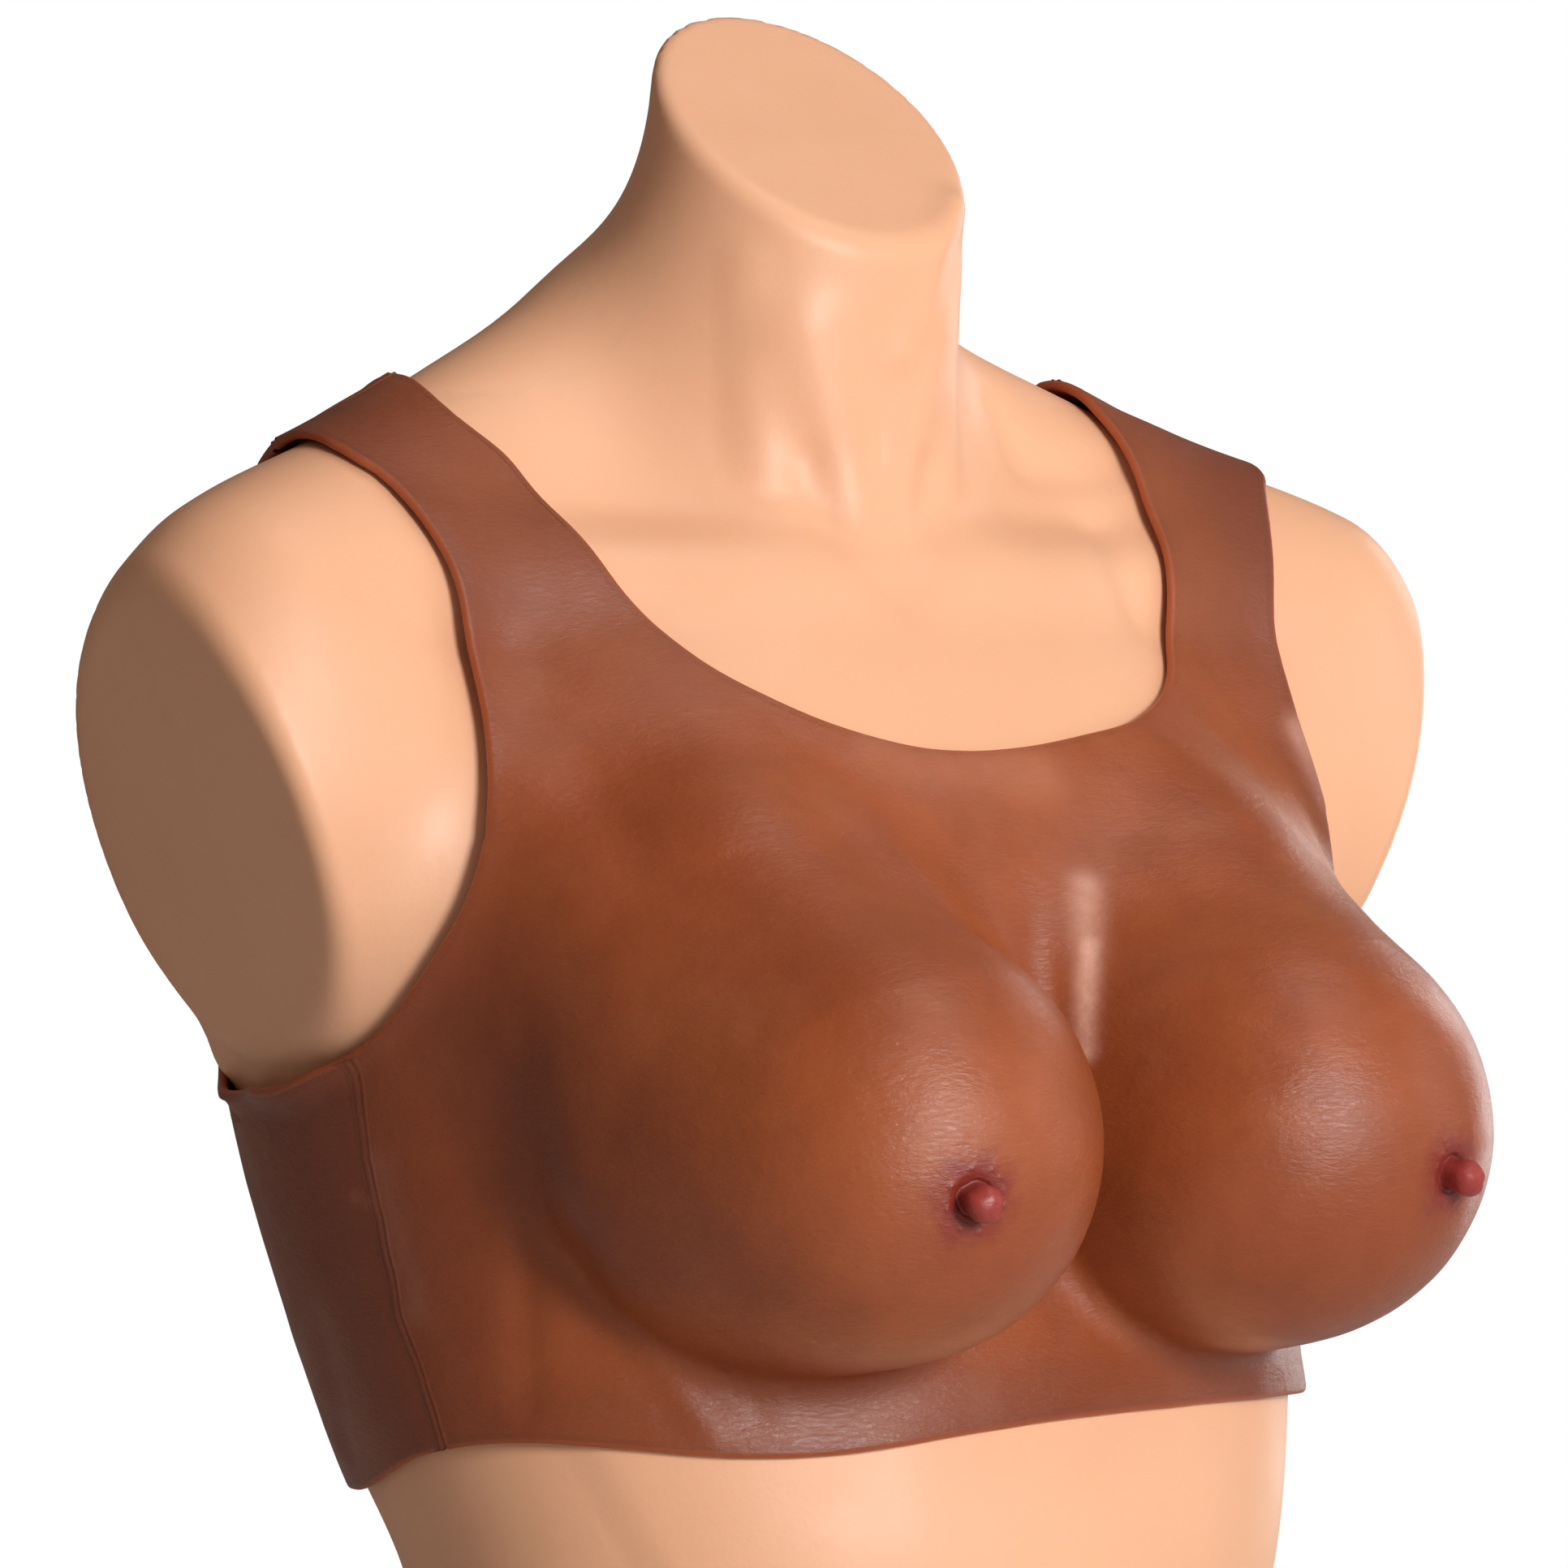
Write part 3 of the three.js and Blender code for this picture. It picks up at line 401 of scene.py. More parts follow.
def evaluate(field, p):
    """The field at many points, a part at a time to hold memory down."""
    out = np.empty(len(p))
    for i in range(0, len(p), CHUNK):
        q = p[i:i + CHUNK]
        out[i:i + CHUNK] = field(q[:, 0], q[:, 1], q[:, 2])
    return out


def gradient(field, p, h=0.1):
    g = np.empty_like(p)
    for k in range(3):
        d = np.zeros(3)
        d[k] = h
        g[:, k] = (evaluate(field, p + d) - evaluate(field, p - d)) / (2 * h)
    return g


def unit(v):
    return v / np.maximum(np.linalg.norm(v, axis=1, keepdims=True), 1e-12)


def normal(field, p):
    return unit(gradient(field, p))


def settle(field, p, reach, rounds=3):
    """The points moved on to the field's zero surface, each round by reach at most."""
    for _ in range(rounds):
        g = gradient(field, p)
        n2 = np.maximum((g * g).sum(1), 1e-9)
        step = np.clip(evaluate(field, p) / np.sqrt(n2), -reach, reach)
        p = p - (step / np.sqrt(n2))[:, None] * g
    return p


def lattice(*counts):
    """Whole-number steps along three axes, as a grid of points."""
    return np.stack(np.meshgrid(*[np.arange(m) for m in counts], indexing="ij"), -1)


def surface_net(field, low, high, cell):
    """Points and quads of the zero surface. Only the grid blocks near the surface are looked at."""
    low = np.array(low, float)
    span = BLOCK * cell
    n = np.ceil((np.array(high, float) - low) / span).astype(int)
    ids = lattice(*n).reshape(-1, 3)
    middle = evaluate(field, low + (ids + 0.5) * span)
    ids = ids[np.abs(middle) < HALF_DIAGONAL * span * SLACK]
    points = low + (ids[:, None, None, None, :] * BLOCK + lattice(*[BLOCK + 1] * 3)) * cell
    v = evaluate(field, points.reshape(-1, 3)).reshape(points.shape[:-1])
    inside = v < 0
    c = np.stack([v[:, i:i + BLOCK, j:j + BLOCK, k:k + BLOCK] for i, j, k in CORNERS], -1)
    ci = c < 0
    b, i, j, k = np.nonzero(ci.any(-1) & ~ci.all(-1))
    cv = c[b, i, j, k]
    total, count = np.zeros((len(b), 3)), np.zeros(len(b))
    for a, e in EDGES:
        cross = (cv[:, a] < 0) != (cv[:, e] < 0)
        t = np.where(cross, cv[:, a] / np.where(cross, cv[:, a] - cv[:, e], 1), 0)
        total += cross[:, None] * (CORNERS[a] + t[:, None] * (CORNERS[e] - CORNERS[a]))
        count += cross
    cell_id = ids[b] * BLOCK + np.stack([i, j, k], -1)
    size = n * BLOCK + 2

    def number(cells):
        return (cells[:, 0] * size[1] + cells[:, 1]) * size[2] + cells[:, 2]

    verts = low + (cell_id + total / count[:, None]) * cell
    order = np.argsort(number(cell_id))
    sorted_key = number(cell_id)[order]

    def find(cells):
        q = number(cells)
        at = np.clip(np.searchsorted(sorted_key, q), 0, len(sorted_key) - 1)
        return np.where(sorted_key[at] == q, order[at], -1)

    quads = []
    for axis in range(3):
        a = inside[:, :BLOCK, :BLOCK, :BLOCK]
        s = [slice(0, BLOCK)] * 3
        s[axis] = slice(1, BLOCK + 1)
        other = inside[:, s[0], s[1], s[2]]
        b, i, j, k = np.nonzero(a != other)
        first = a[b, i, j, k]
        base = ids[b] * BLOCK + np.stack([i, j, k], -1)
        u, w = np.eye(3, dtype=int)[(axis + 1) % 3], np.eye(3, dtype=int)[(axis + 2) % 3]
        q = np.stack([find(base), find(base - u), find(base - u - w), find(base - w)], -1)
        q[~first] = q[~first][:, ::-1]
        quads.append(q[(q >= 0).all(1)])
    return settle(field, verts, cell / 2), np.vstack(quads)


def drop(field, q, way, rounds, reach=3):
    """The points moved along one axis until they lie on the field's zero surface."""
    for _ in range(rounds):
        q = q + np.outer(np.clip(evaluate(field, q), -reach, reach) * 0.8, way)
    return q


def triangles(points, quads):
    """The quads, each cut along its shorter diagonal."""
    a, b, c, d = (points[quads[:, i]] for i in range(4))
    short = (np.linalg.norm(a - c, axis=1) <= np.linalg.norm(b - d, axis=1))[:, None]
    one = np.where(short, quads[:, [0, 1, 2]], quads[:, [0, 1, 3]])
    two = np.where(short, quads[:, [0, 2, 3]], quads[:, [1, 2, 3]])
    return np.vstack([one, two])


def clip(points, tris, s):
    """The part of a triangle mesh where s is at most 0. Returns points, triangles and the cut edges."""
    inside = s[tris] <= 0
    count = inside.sum(1)
    keep = [tris[count == 3]]
    cut_pairs, cut_tris, edges = [], [], []
    for n_in in (1, 2):
        t, m = tris[count == n_in], inside[count == n_in]
        k = (m if n_in == 1 else ~m).argmax(1)
        r = np.arange(len(t))
        p, q, o = t[r, k], t[r, (k + 1) % 3], t[r, (k + 2) % 3]
        cut_pairs += [np.stack([p, q], 1), np.stack([p, o], 1)]
        cut_tris.append((n_in, p, q, o))
    pairs = np.sort(np.vstack(cut_pairs), axis=1)
    unique, inverse = np.unique(pairs, axis=0, return_inverse=True)
    inverse = inverse.reshape(-1)
    sa, sb = s[unique[:, 0]], s[unique[:, 1]]
    w = (sa / np.where(sa == sb, 1, sa - sb))[:, None]
    fresh = points[unique[:, 0]] * (1 - w) + points[unique[:, 1]] * w
    inverse = inverse + len(points)
    at = 0
    for n_in, p, q, o in cut_tris:
        m = len(p)
        pq, po = inverse[at:at + m], inverse[at + m:at + 2 * m]
        at += 2 * m
        if n_in == 1:
            keep.append(np.stack([p, pq, po], 1))
            edges.append(np.stack([pq, po], 1))
        else:
            keep += [np.stack([pq, q, o], 1), np.stack([pq, o, po], 1)]
            edges.append(np.stack([po, pq], 1))
    every = np.vstack([points, fresh])
    tris = np.vstack(keep)
    used, back = np.unique(tris, return_inverse=True)
    number = np.full(len(every), -1)
    number[used] = np.arange(len(used))
    edges = number[np.vstack(edges)]
    edges = edges[(edges >= 0).all(1) & (edges[:, 0] != edges[:, 1])]
    return every[used], back.reshape(-1, 3), edges


def chains(edges):
    """Ordered runs of points along cut edges, each with whether it closes on itself."""
    after = {int(a): int(b) for a, b in edges}
    before = {int(b): int(a) for a, b in edges}
    left = set(after)
    runs = []
    while left:
        start = next((a for a in sorted(left) if a not in before), None)
        closed = start is None
        if closed:
            start = min(left)
        run, here = [start], start
        while here in after and here in left:
            left.discard(here)
            here = after[here]
            if closed and here == start:
                break
            run.append(here)
        runs.append((run, closed))
    return runs


def resample(p, closed, spacing, sigma):
    """A run of points at an even spacing, smoothed over a length of sigma."""
    if closed:
        p = np.vstack([p, p[:1]])
    length = np.concatenate([[0], np.cumsum(np.linalg.norm(np.diff(p, axis=0), axis=1))])
    m = max(int(length[-1] / spacing), 8)
    at = np.linspace(0, length[-1], m + 1)
    q = np.stack([np.interp(at, length, p[:, k]) for k in range(3)], 1)
    q = q[:-1] if closed else q
    reach = int(3 * sigma / spacing) + 1
    w = np.exp(-0.5 * (np.arange(-reach, reach + 1) * spacing / sigma) ** 2)
    w /= w.sum()
    if closed:
        pad = np.vstack([q[-reach:], q, q[:reach]])
    else:
        pad = np.vstack([2 * q[:1] - q[reach:0:-1], q, 2 * q[-1:] - q[-2:-reach - 2:-1]])
    return np.stack([np.convolve(pad[:, k], w, mode="valid") for k in range(3)], 1)


def vertex_normals(points, tris):
    n = np.cross(points[tris[:, 1]] - points[tris[:, 0]], points[tris[:, 2]] - points[tris[:, 0]])
    out = np.zeros_like(points)
    for k in range(3):
        for c in range(3):
            out[:, c] += np.bincount(tris[:, k], weights=n[:, c], minlength=len(points))
    return unit(out)


def split_quads(quads):
    return np.vstack([quads[:, [0, 1, 2]], quads[:, [0, 2, 3]]])


def faced(points, quads, ahead, part=slice(None)):
    """The quads, turned round if part of the points' normals go against ahead, and the normals."""
    normals = vertex_normals(points, split_quads(quads))
    if (normals[part] * ahead).sum() < 0:
        return quads[:, ::-1], vertex_normals(points, split_quads(quads)[:, ::-1])
    return quads, normals


def row_frame(p):
    """Millimetres about the torso's own axis, turned into metres in the row frame."""
    return (p + np.array([0, FRAME_Y, 0])) * MM


class Builder:
    """Collects patches of points, faces and normals into one object."""

    def __init__(self):
        self.points, self.normals, self.rim, self.count = [], [], [], 0
        self.tris, self.quads = [np.zeros((0, 3), int)], [np.zeros((0, 4), int)]

    def add(self, points, faces, normals=None, rim=0.0):
        three = faces.shape[1] == 3
        if normals is None:
            normals = vertex_normals(points, faces if three else split_quads(faces))
        self.points.append(points)
        self.normals.append(normals)
        self.rim.append(np.broadcast_to(rim, len(points)))
        (self.tris if three else self.quads).append(faces + self.count)
        self.count += len(points)
        return self

    def object(self, name):
        """A Blender object in the row frame, in metres, with its rim attribute and the strength of its
        painted highlights and pale patches.
        """
        points = row_frame(np.vstack(self.points))
        tris, quads = np.vstack(self.tris), np.vstack(self.quads)
        mesh = bpy.data.meshes.new(name)
        mesh.vertices.add(len(points))
        mesh.vertices.foreach_set("co", points.astype(np.float32).ravel())
        loops = np.concatenate([tris.ravel(), quads.ravel()])
        starts = np.append(np.arange(len(tris)) * 3, len(tris) * 3 + np.arange(len(quads)) * 4)
        mesh.loops.add(len(loops))
        mesh.loops.foreach_set("vertex_index", loops.astype(np.int32))
        mesh.polygons.add(len(starts))
        mesh.polygons.foreach_set("loop_start", starts.astype(np.int32))
        mesh.polygons.foreach_set("use_smooth", np.ones(len(starts), bool))
        mesh.update(calc_edges=True)
        # Attributes: the rim strength, and the strength of the painted highlights and pale patches.
        marks = {"rim": np.concatenate(self.rim), "bloom": bloom(np.vstack(self.points))}
        for label, values in marks.items():
            attribute = mesh.attributes.new(label, "FLOAT", "POINT")
            attribute.data.foreach_set("value", values.astype(np.float32))
        mesh.normals_split_custom_set_from_vertices(np.vstack(self.normals).tolist())
        return new_object(name, mesh)


def new_object(name, data):
    made = bpy.data.objects.new(name, data)
    bpy.context.scene.collection.objects.link(made)
    return made


def grid_faces(rows, cols, closed):
    """Quads of a grid of rows x cols points; closed joins the last column to the first."""
    r, c = np.meshgrid(np.arange(rows - 1), np.arange(cols if closed else cols - 1), indexing="ij")
    d = (c + 1) % cols
    this, below = r * cols, (r + 1) * cols
    return np.stack([this + c, this + d, below + d, below + c], -1).reshape(-1, 4)


# ---- Materials ----

class Graph:
    """Short calls for a node material."""

    def __init__(self, name):
        self.mat = bpy.data.materials.new(name)
        self.mat.use_nodes = True
        self.tree = self.mat.node_tree
        self.bsdf = next(n for n in self.tree.nodes if n.type == "BSDF_PRINCIPLED")
        self.where = self.node("ShaderNodeTexCoord").outputs["Object"]

    def node(self, kind, inputs=None, **props):
        """A new node. inputs gives a number, colour, vector or socket for some of its inputs."""
        made = self.tree.nodes.new(kind)
        for key, value in props.items():
            setattr(made, key, value)
        for key, value in (inputs or {}).items():
            self.link(value, made.inputs[key])
        return made

    def link(self, a, b):
        if isinstance(a, (int, float)):
            b.default_value = a
        elif isinstance(a, tuple):
            b.default_value = a if len(a) == len(b.default_value) else (*a, 1.0)
        else:
            self.tree.links.new(a, b)

    def set(self, **inputs):
        for key, value in inputs.items():
            self.link(value, self.bsdf.inputs[key.replace("_", " ")])

    def noise(self, scale, detail=4.0, rough=0.5, vector=None, distortion=0.0):
        """Noise of so many cycles a metre."""
        return self.node("ShaderNodeTexNoise", {
            "Vector": vector or self.where, "Scale": scale, "Detail": detail, "Roughness": rough,
            "Distortion": distortion}).outputs[0]

    def voronoi(self, scale):
        cells = self.node("ShaderNodeTexVoronoi", {"Vector": self.where, "Scale": scale})
        return cells.outputs["Distance"]

    def scaled(self, factors, rotation=(0, 0, 0)):
        """Object coordinates turned and stretched."""
        return self.node("ShaderNodeMapping", {
            "Vector": self.where, "Scale": factors, "Rotation": rotation}).outputs[0]

    def ramp(self, value, low, high, a=0.0, b=1.0):
        """A smooth step from a to b as value goes from low to high."""
        return self.node("ShaderNodeMapRange", {
            "Value": value, "From Min": low, "From Max": high, "To Min": a, "To Max": b,
        }, interpolation_type="SMOOTHSTEP").outputs[0]

    def math(self, op, a, b=0.0):
        return self.node("ShaderNodeMath", {0: a, 1: b}, operation=op).outputs[0]

    def mix(self, fac, a, b):
        return self.node("ShaderNodeMix", {0: fac, 6: a, 7: b}, data_type="RGBA").outputs[2]

    def distance(self, point):
        away = self.node("ShaderNodeVectorMath", {0: self.where, 1: tuple(point)}, operation="DISTANCE")
        return away.outputs["Value"]

    def attribute(self, name):
        return self.node("ShaderNodeAttribute", attribute_name=name).outputs["Fac"]

    def bump(self, height, strength, distance, normal=None):
        inputs = {"Height": height, "Strength": strength, "Distance": distance}
        if normal is not None:
            inputs["Normal"] = normal
        return self.node("ShaderNodeBump", inputs).outputs[0]


def srgb(r, g, b):
    return tuple(c / 255 / 12.92 if c <= 10 else ((c / 255 + 0.055) / 1.055) ** 2.4 for c in (r, g, b))


# Colours of the torso and of the silicone.
FLESH, FLESH_DARK = srgb(241, 184, 146), srgb(237, 178, 139)
BROWN, BROWN_LIGHT = srgb(148, 71, 34), srgb(165, 85, 45)
CLOUD, HAZE = srgb(124, 58, 32), srgb(176, 120, 92)
# The strap and band browns are painted shade: one on the straps, the other under the breasts and on the
# flanks.
STRAP_SHADE_BROWN, UNDER_AND_FLANK_SHADE = srgb(118, 60, 34), srgb(112, 52, 31)
# The pale pink is partly a painted highlight and partly paler patches.
AREOLA_RED, SHEEN_PINK = srgb(128, 38, 35), srgb(234, 180, 158)
# The rim orange is a painted glow of light through the thin rolled edges; the seam dark is painted shade
# in the seam's grooves.
RIM_GLOW_ORANGE, NUB_PINK, SEAM_GROOVE_SHADE = srgb(184, 92, 52), srgb(158, 56, 50), srgb(62, 27, 15)
# Where the painted shade sets in on the silicone, in metres: height on the straps, height under the
# breasts, distance from the middle on the flanks.
STRAP_RISE, UNDER_BUST_SHADE_RISE, FLANK_SHADE_SPAN = (0.35, 0.41), (0.186, 0.212), (0.108, 0.140)
# Radii of an areola's inner colour and of where it has faded out, in metres.
AREOLA_FADE = (0.0062, 0.0155)


def torso_plastic():
    g = Graph("torso_plastic")
    base = g.mix(g.ramp(g.noise(9, 3), 0.35, 0.65), FLESH, FLESH_DARK)
    g.set(Base_Color=base, Roughness=g.ramp(g.noise(40, 4), 0.3, 0.7, 0.44, 0.52))
    peel = g.bump(g.noise(420, 2, 0.6), 0.12, 0.0006)
    g.set(Normal=g.bump(g.noise(60, 2), 0.08, 0.002, peel))
    g.set(Subsurface_Weight=0.12, Subsurface_Scale=0.004, Subsurface_Radius=(1.0, 0.45, 0.25))
    return g.mat


# By default the tip colour is a painted glow of light through the vest's thin rolled edges.
def silicone(name, tip=RIM_GLOW_ORANGE, share=0.55):
    """Brown cast silicone. tip is the colour, and share its strength, where the rim attribute is 1."""
    g = Graph(name)
    base = g.mix(g.ramp(g.noise(14, 6, 0.6), 0.35, 0.68), BROWN, BROWN_LIGHT)
    cloudy = g.ramp(g.noise(45, 5, 0.65), 0.45, 0.75)
    base = g.mix(g.math("MULTIPLY", cloudy, 0.25), base, CLOUD)
    hazy = g.ramp(g.noise(26, 7, 0.7), 0.52, 0.8)
    base = g.mix(g.math("MULTIPLY", hazy, 0.16), base, HAZE)
    axes = g.node("ShaderNodeSeparateXYZ", {0: g.where})
    # Painted shade on the straps, which are also made rougher.
    straps = g.ramp(axes.outputs["Z"], *STRAP_RISE)
    base = g.mix(g.math("MULTIPLY", straps, 0.45), base, STRAP_SHADE_BROWN)
    # Painted shade under the breasts and on the flanks.
    band = g.ramp(axes.outputs["Z"], *UNDER_BUST_SHADE_RISE, 0.5, 0.0)
    flank = g.ramp(g.math("ABSOLUTE", axes.outputs["X"]), *FLANK_SHADE_SPAN, 0.0, 0.5)
    base = g.mix(g.math("MAXIMUM", band, flank), base, UNDER_AND_FLANK_SHADE)
    ragged = g.ramp(g.noise(160, 3, 0.6), 0.2, 0.8, -0.0022, 0.0022)
    for at, n in NIPPLE_AT.values():
        soft = g.ramp(g.math("ADD", g.distance(row_frame(at + n)), ragged), *AREOLA_FADE, 0.88, 0.0)
        base = g.mix(soft, base, AREOLA_RED)
    # Painted highlights and pale patches, by the attribute read here.
    pale = g.math("MULTIPLY", g.attribute("bloom"), g.ramp(g.noise(120, 5, 0.7), 0.25, 0.7, 0.7, 1.0))
    base = g.mix(pale, base, SHEEN_PINK)
    g.set(Base_Color=g.mix(g.math("MULTIPLY", g.attribute("rim"), share), base, tip))
    gloss = g.ramp(g.noise(70, 5, 0.6), 0.3, 0.75, 0.30, 0.42)
    g.set(Roughness=g.math("ADD", gloss, g.math("MULTIPLY", straps, 0.16)))
    lines = g.noise(330, 5, 0.66, g.scaled((1, 1, 3.0), (0.35, 0.5, 0.2)), 0.5)
    creases = g.noise(120, 6, 0.7, g.scaled((1.0, 1.0, 2.2), (0.5, 0.2, 0.4)), 0.8)
    fine = g.bump(lines, 0.42, 0.0006)
    fine = g.bump(creases, 0.25, 0.0008, fine)
    fine = g.bump(g.voronoi(700), 0.10, 0.0003, fine)
    g.set(Normal=g.bump(g.noise(34, 3), 0.18, 0.0022, fine))
    g.set(Subsurface_Weight=0.10, Subsurface_Scale=0.004, Subsurface_Radius=(1.0, 0.35, 0.2))
    return g.mat


def metal(name, colour, rough):
    g = Graph(name)
    grain = g.noise(300, 4, 0.6, g.scaled((1, 1, 12)))
    g.set(Base_Color=g.mix(grain, colour, tuple(c * 0.75 for c in colour)), Metallic=1.0)
    g.set(Roughness=g.ramp(grain, 0.3, 0.7, rough, rough + 0.15), Normal=g.bump(grain, 0.08, 0.0003))
    return g.mat


def board():
    g = Graph("fibreboard")
    fibre = g.noise(240, 6, 0.7, g.scaled((1, 3, 6)))
    g.set(Base_Color=g.mix(fibre, srgb(176, 140, 98), srgb(142, 108, 70)), Roughness=0.85)
    g.set(Normal=g.bump(fibre, 0.3, 0.0006))
    return g.mat


def black_plastic():
    g = Graph("black_plastic")
    grain = g.noise(600, 3)
    g.set(Base_Color=g.mix(grain, srgb(30, 30, 32), srgb(22, 22, 24)))
    g.set(Roughness=g.ramp(grain, 0.3, 0.7, 0.4, 0.6), Normal=g.bump(grain, 0.25, 0.0003))
    return g.mat


def gel():
    g = Graph("soft_gel")
    cloud = g.noise(30, 4)
    g.set(Base_Color=g.mix(cloud, srgb(206, 158, 126), srgb(188, 138, 106)), Roughness=0.25)
    g.set(Subsurface_Weight=0.4, Subsurface_Scale=0.01, Normal=g.bump(cloud, 0.1, 0.002))
    return g.mat


# ---- Torso ----

TORSO_CELL, VEST_CELL = 2.4, 2.2
INNER_CELL = 6.0
# Corners of the space searched for each surface.
TORSO_LOW, INNER_LOW, TORSO_HIGH = (-216, -125, -30), (-216, -125, -10), (216, 125, 570)
VEST_LOW, VEST_HIGH = (-196, -206, 136), (196, 140, 484)
WALL = 4.0
RIM_LIP_WIDTH = 16.0
RIM_LIP_HEIGHT = 5
BASE_CENTRE_Y = -14
# Cut edges of fewer points than this are slivers and get no wall.
SHORT_RUN = 6


def parting(p):
    """Distance behind the line where the torso's halves meet."""
    return p[:, 1] - np.interp(p[:, 2], PARTING[:, 1], PARTING[:, 0])


def wall_strip(builder, p, n, closed, depth):
    """A wall from an edge straight in along -n."""
    rows = np.stack([p, p - n * 0.4, p - n * depth])
    rows[:, :, 2] = np.maximum(rows[:, :, 2], 0)
    builder.add(rows.reshape(-1, 3), grid_faces(3, len(p), closed)[:, ::-1])


def torso_halves():
    """Each half has an outer skin, an inner face, a wall where the halves meet, and a lip at the base."""
    points, quads = surface_net(torso, TORSO_LOW, TORSO_HIGH, TORSO_CELL)
    points, tris, _ = clip(points, triangles(points, quads), -points[:, 2])

    def inner(x, y, z):
        return np.maximum(torso(x, y, z) + WALL, RIM_LIP_HEIGHT - z)

    inner_p, inner_q = surface_net(inner, INNER_LOW, TORSO_HIGH, INNER_CELL)
    inner_t = triangles(inner_p, inner_q)[:, ::-1]
    inner_p, inner_t, _ = clip(inner_p, inner_t, RIM_LIP_HEIGHT + 0.3 - inner_p[:, 2])
    made = []
    for name, side in (("torso_front_skin", 1), ("torso_back_skin", -1)):
        b = Builder()
        p, t, edges = clip(points, tris, parting(points) * side)
        b.add(p, t, normal(torso, p))
        for run, closed in chains(edges):
            if len(run) >= SHORT_RUN:
                wall_strip(b, p[run], normal(torso, p[run]), closed, WALL)
        ip, it, _ = clip(inner_p, inner_t, parting(inner_p) * side)
        b.add(ip, it, -normal(torso, ip))
        add_rim_lip(b, side)
        made.append(b.object(name))
    return made


def base_outline(inset, count=160):
    """Points round the torso's bottom edge, moved in by an inset."""
    c, s = circle(count)
    r = np.full(count, 60.0)
    for step in (8, 2, 0.5, 0.1, 0.02):
        while True:
            more = torso(c * r, BASE_CENTRE_Y + s * r, np.zeros(count)) < 0
            if not more.any():
                break
            r = np.where(more, r + step, r)
        r -= step
    p = np.stack([c * r, BASE_CENTRE_Y + s * r, np.zeros(count)], 1)
    g = gradient(torso, p)
    g[:, 2] = 0
    return p - unit(g) * inset


def add_rim_lip(b, side):
    """The flat lip that turns inwards at the torso's bottom edge."""
    outer, inner = base_outline(0.0), base_outline(RIM_LIP_WIDTH)
    up = [0, 0, RIM_LIP_HEIGHT]
    level = [outer, inner, inner + up, base_outline(WALL) + up]
    for one, two in ((0, 1), (1, 2), (2, 3)):
        rows = np.vstack([level[one], level[two]])
        p, t, _ = clip(rows, split_quads(grid_faces(2, len(outer), True)), parting(rows) * side)
        b.add(p, t)


# ---- Vest ----

PANEL_GAP = 0.1
# How far past the seam the rolled edge's faces may reach.
EDGE_OVERLAP = 0.9
EDGE_SPACING, EDGE_SIGMA = 2.0, 2.2
# Folds in the vest: end, end, width, height, length of the ends' fade.
FOLDS = [
    ((-124, -62, 238), (-124, -63, 192), 5.0, -1.0, 0.7),
    ((-113, -79, 221), (-90, -96, 184), 4.0, 0.8, 0.8),
    ((-103, -88, 221), (-78, -101, 190), 4.0, -0.6, 0.8),
    ((-138, 8, 205), (-131, 12, 172), 6.0, -0.8, 0.7),
    ((-122, -50, 398), (-128, -30, 418), 7.0, 0.8, 0.8),
    ((-30, -82, 352), (-62, -86, 330), 9.0, 0.6, 0.8),
]


def folds(p):
    """Height of the folds at each point."""
    out = np.zeros(len(p))
    for a, b, width, height, soft in FOLDS:
        d = np.subtract(b, a).astype(float)
        t = (p - a) @ d / (d @ d)
        near = cone(*p.T, a, b, 0, 0)
        along = smoothstep(t, -soft, 0.3) * (1 - smoothstep(t, 0.7, 1 + soft))
        out += height * bell(near, width) * along
    return out


def hash_noise(p, scale, seed):
    """Smooth value noise in three directions, the same on every run."""
    q = p / scale + seed * 17.17
    i = np.floor(q).astype(np.int64)
    f = q - i
    f = f * f * (3 - 2 * f)
    total = np.zeros(len(p))
    for c in CORNERS:
        n = i + c
        h = n @ np.array([374761393, 668265263, 2147483647]) + seed * 1274126177 & 0x7FFFFFFF
        h = (h ^ (h >> 13)) * 1274126177 & 0x7FFFFFFF
        w = np.prod(np.where(c == 1, f, 1 - f), axis=1)
        total += w * ((h ^ (h >> 16)) & 0xFFFF) / 65535.0
    return total * 2 - 1


def nipple_point(side):
    """The vest's surface and its normal at a nipple's place."""
    x, z = NIPPLE[side]
    y = np.linspace(-200, -150, 4001)
    f = vest(np.full_like(y, x), y, np.full_like(y, z))
    p = np.array([x, y[np.argmax(f < 0)], z])
    return p, normal(vest, p[None])[0]


NIPPLE_AT = {s: nipple_point(s) for s in (1, -1)}


def unevenness(p):
    return 0.35 * hash_noise(p, 26, 3) + 0.16 * hash_noise(p, 11, 5)


def lift(p, edge):
    """How far the vest's skin stands off the smooth shape, by place and by distance to its edge."""
    x, y, z = p.T

    def near_edge(width):
        return bell(np.minimum(edge, 0), width)

    out = folds(p) * smoothstep(-edge, 0.5, 5) + unevenness(p)
    out += near_edge(7) * (0.2 + 0.3 * hash_noise(p, 21, 8))
    left_strap = smoothstep(z, 360, 400) * bell(x - 98, 16) * (y < 30)
    shoulder = smoothstep(z, 425, 445)
    out += 0.6 * left_strap
    out += 0.6 * shoulder
    armhole_back = bell(y - 46, 10) * (z < 300) * (z > 240)
    out += 3.6 * armhole_back * near_edge(5)
    hem_back = smoothstep(y, 0, 50) * (z < 200)
    out += 0.8 * hem_back * near_edge(9)
    hem_left = smoothstep(x, 70, 110) * (z < 215) * (y < -40)
    out += 1.6 * hem_left * near_edge(9)
    return out


def nipple_sink(p):
    """The skin drops away under each nipple's own casting."""
    near = [np.linalg.norm(p - at, axis=1) for at, _ in NIPPLE_AT.values()]
    return 2.2 * (1 - smoothstep(np.minimum(*near), 8.0, 12.0))


def edge_of(p):
    return region(p[:, 0], p[:, 1], p[:, 2])
